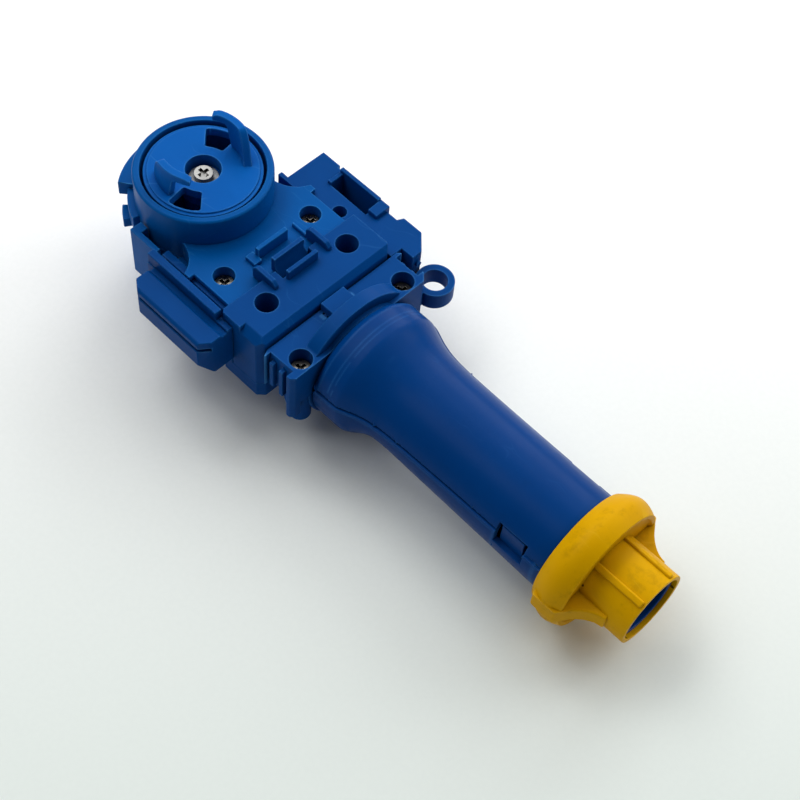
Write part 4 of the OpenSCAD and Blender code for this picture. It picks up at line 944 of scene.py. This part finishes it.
@dataclass(frozen=True)
class Lamp:
    """One soft studio lamp, aimed at the object from a direction of the sky."""

    name: str
    azimuth: float
    elevation: float
    power: float
    distance: float = 1.4
    size: float = 0.7

    def hang(self) -> bpy.types.Object:
        """Hangs the lamp.

        Returns:
            The lamp's object.
        """
        data = bpy.data.lights.new(self.name, "AREA")
        data.shape = "SQUARE"
        data.size = self.size
        data.energy = self.power
        turn, lift = math.radians(self.azimuth), math.radians(self.elevation)
        aim = Vector((math.cos(turn) * math.cos(lift), math.sin(turn) * math.cos(lift), math.sin(lift)))
        lamp = bpy.data.objects.new(self.name, data)
        lamp.location = aim * self.distance
        lamp.rotation_euler = aim.to_track_quat("Z", "Y").to_euler()
        bpy.context.scene.collection.objects.link(lamp)
        return lamp


@dataclass
class Studio:
    """The floor, the lamps, the pale surroundings and the camera."""

    floor_reach: float = 3.0
    floor_z: float = -0.2 * MM
    fade_from: float = 0.24
    fade_to: float = 0.6
    # Painted shade and light on the floor: darker grey near the camera, white farther back.
    near_shaded_tone: Colour = tone(226, 234, 229)
    far_lit_tone: Colour = tone(255, 255, 255)
    fibre_tone: Colour = tone(205, 212, 210)
    fibre_share: float = 0.05
    tint_from: float = -0.16
    tint_to: float = 0.14
    sensor: float = 36.0
    lens: float = 71.48
    clip: float = 0.01
    camera_at: tuple[float, float, float] = (0.164493, -0.190032, 0.395302)
    azimuth: float = 39.531
    elevation: float = 56.990
    roll: float = 6.574
    fill: float = 0.15
    lamps: tuple[Lamp, ...] = (
        Lamp("overhead", 0.0, 80.0, 0.7),
        Lamp("back_right", 45.0, 55.0, 1.5),
        Lamp("back", 90.0, 55.0, 2.3),
        Lamp("back_left", 135.0, 55.0, 3.0),
        Lamp("left", 180.0, 55.0, 6.3),
        Lamp("front_left", 225.0, 55.0, 3.3),
        Lamp("low_right", 65.0, 28.0, 4.6),
        Lamp("low_back", 110.0, 28.0, 5.6),
        Lamp("low_left", 155.0, 28.0, 1.4),
    )

    def lay_floor(self) -> None:
        """Lays the floor, with painted shade that turns it a cool grey near the camera and white farther
        back.
        """
        mesh = bmesh.new()
        bmesh.ops.create_grid(mesh, x_segments=1, y_segments=1, size=self.floor_reach)
        bmesh.ops.translate(mesh, verts=mesh.verts, vec=(0.0, 0.0, self.floor_z))
        data = bpy.data.meshes.new("floor")
        mesh.to_mesh(data)
        mesh.free()
        floor = bpy.data.objects.new("floor", data)
        bpy.context.scene.collection.objects.link(floor)
        data.materials.append(self.floor_finish())

    def floor_finish(self) -> bpy.types.Material:
        """Builds the floor's paper.

        Returns:
            The floor's material.
        """
        material, sketch = open_material("floor_paper")
        place = sketch.add("ShaderNodeTexCoord").outputs["Object"]
        turn = (0.0, 0.0, math.radians(self.azimuth + self.roll))
        turned = sketch.add("ShaderNodeMapping", {"Vector": place, "Rotation": turn},
                            vector_type="TEXTURE")
        split = sketch.add("ShaderNodeSeparateXYZ", {0: turned.outputs[0]})
        # Painted shade: the floor's colour runs from a darker grey near the camera to white farther back.
        away = sketch.span(split.outputs["Y"], self.tint_from, self.tint_to)
        fibre = sketch.add("ShaderNodeTexNoise", {"Vector": place, "Scale": 700.0, "Detail": 3.0})
        colour = sketch.blend(away, self.near_shaded_tone, self.far_lit_tone)
        speckled = sketch.span(fibre.outputs[0], *EFFECTS.NOISE_SPAN, 0.0, self.fibre_share)
        colour = sketch.blend(speckled, colour, self.fibre_tone)
        # Painted light: seen by the camera, the floor glows white farther out from the object.
        far = sketch.add("ShaderNodeVectorMath", {0: place}, operation="LENGTH")
        seen = sketch.add("ShaderNodeLightPath").outputs["Is Camera Ray"]
        fade = sketch.span(far.outputs["Value"], self.fade_from, self.fade_to)
        fade = sketch.maths("MULTIPLY", seen, fade)
        shader = sketch.add("ShaderNodeBsdfPrincipled",
                            {"Base Color": colour, "Roughness": 0.9, "Specular IOR Level": 0.05,
                             "Emission Color": (1.0, 1.0, 1.0, 1.0), "Emission Strength": fade})
        sketch.add("ShaderNodeOutputMaterial", {"Surface": shader.outputs[0]})
        return material

    def light_world(self) -> None:
        """Sets the pale surroundings."""
        world = bpy.data.worlds.new("surroundings")
        bpy.context.scene.world = world
        world.use_nodes = True
        world.node_tree.nodes.clear()
        sketch = NodeSketch(world.node_tree)
        seen = sketch.add("ShaderNodeLightPath").outputs["Is Camera Ray"]
        strength = sketch.maths("ADD", sketch.maths("MULTIPLY", seen, 1.0 - self.fill), self.fill)
        glow = sketch.add("ShaderNodeBackground", {"Color": (1.0, 1.0, 1.0, 1.0), "Strength": strength})
        sketch.add("ShaderNodeOutputWorld", {"Surface": glow.outputs[0]})

    def set_camera(self) -> None:
        """Places the camera at the photograph's viewing angle."""
        data = bpy.data.cameras.new("camera")
        data.sensor_fit = "HORIZONTAL"
        data.sensor_width = self.sensor
        data.lens = self.lens
        data.clip_start = self.clip
        turn, lift, roll = (math.radians(a) for a in (self.azimuth, self.elevation, self.roll))
        back = Vector((math.sin(turn) * math.cos(lift), -math.cos(turn) * math.cos(lift), math.sin(lift)))
        right = Vector((math.cos(turn), math.sin(turn), 0.0))
        up = back.cross(right)
        right, up = (right * math.cos(roll) + up * math.sin(roll),
                     up * math.cos(roll) - right * math.sin(roll))
        axes = Matrix((right, up, back)).transposed().to_4x4()
        camera = bpy.data.objects.new("camera", data)
        camera.matrix_world = Matrix.Translation(self.camera_at) @ axes
        bpy.context.scene.collection.objects.link(camera)
        bpy.context.scene.camera = camera

    def build(self) -> None:
        """Sets up the whole studio."""
        self.set_camera()
        self.lay_floor()
        self.light_world()
        for lamp in self.lamps:
            lamp.hang()
        bpy.context.scene.view_settings.view_transform = "Standard"


def main() -> None:
    """Sets the studio, dresses each sub-assembly in order and logs what was built."""
    logging.basicConfig(level=logging.INFO, format="%(name)s: %(message)s")
    Studio().build()
    for part in (LauncherCase(), SpinningRotor(), GripHead(), ReleaseLatch(), Handle(), TurningCap()):
        part.build()
        LOG.info("%s built", type(part).__name__)


if __name__ == "__main__":
    main()
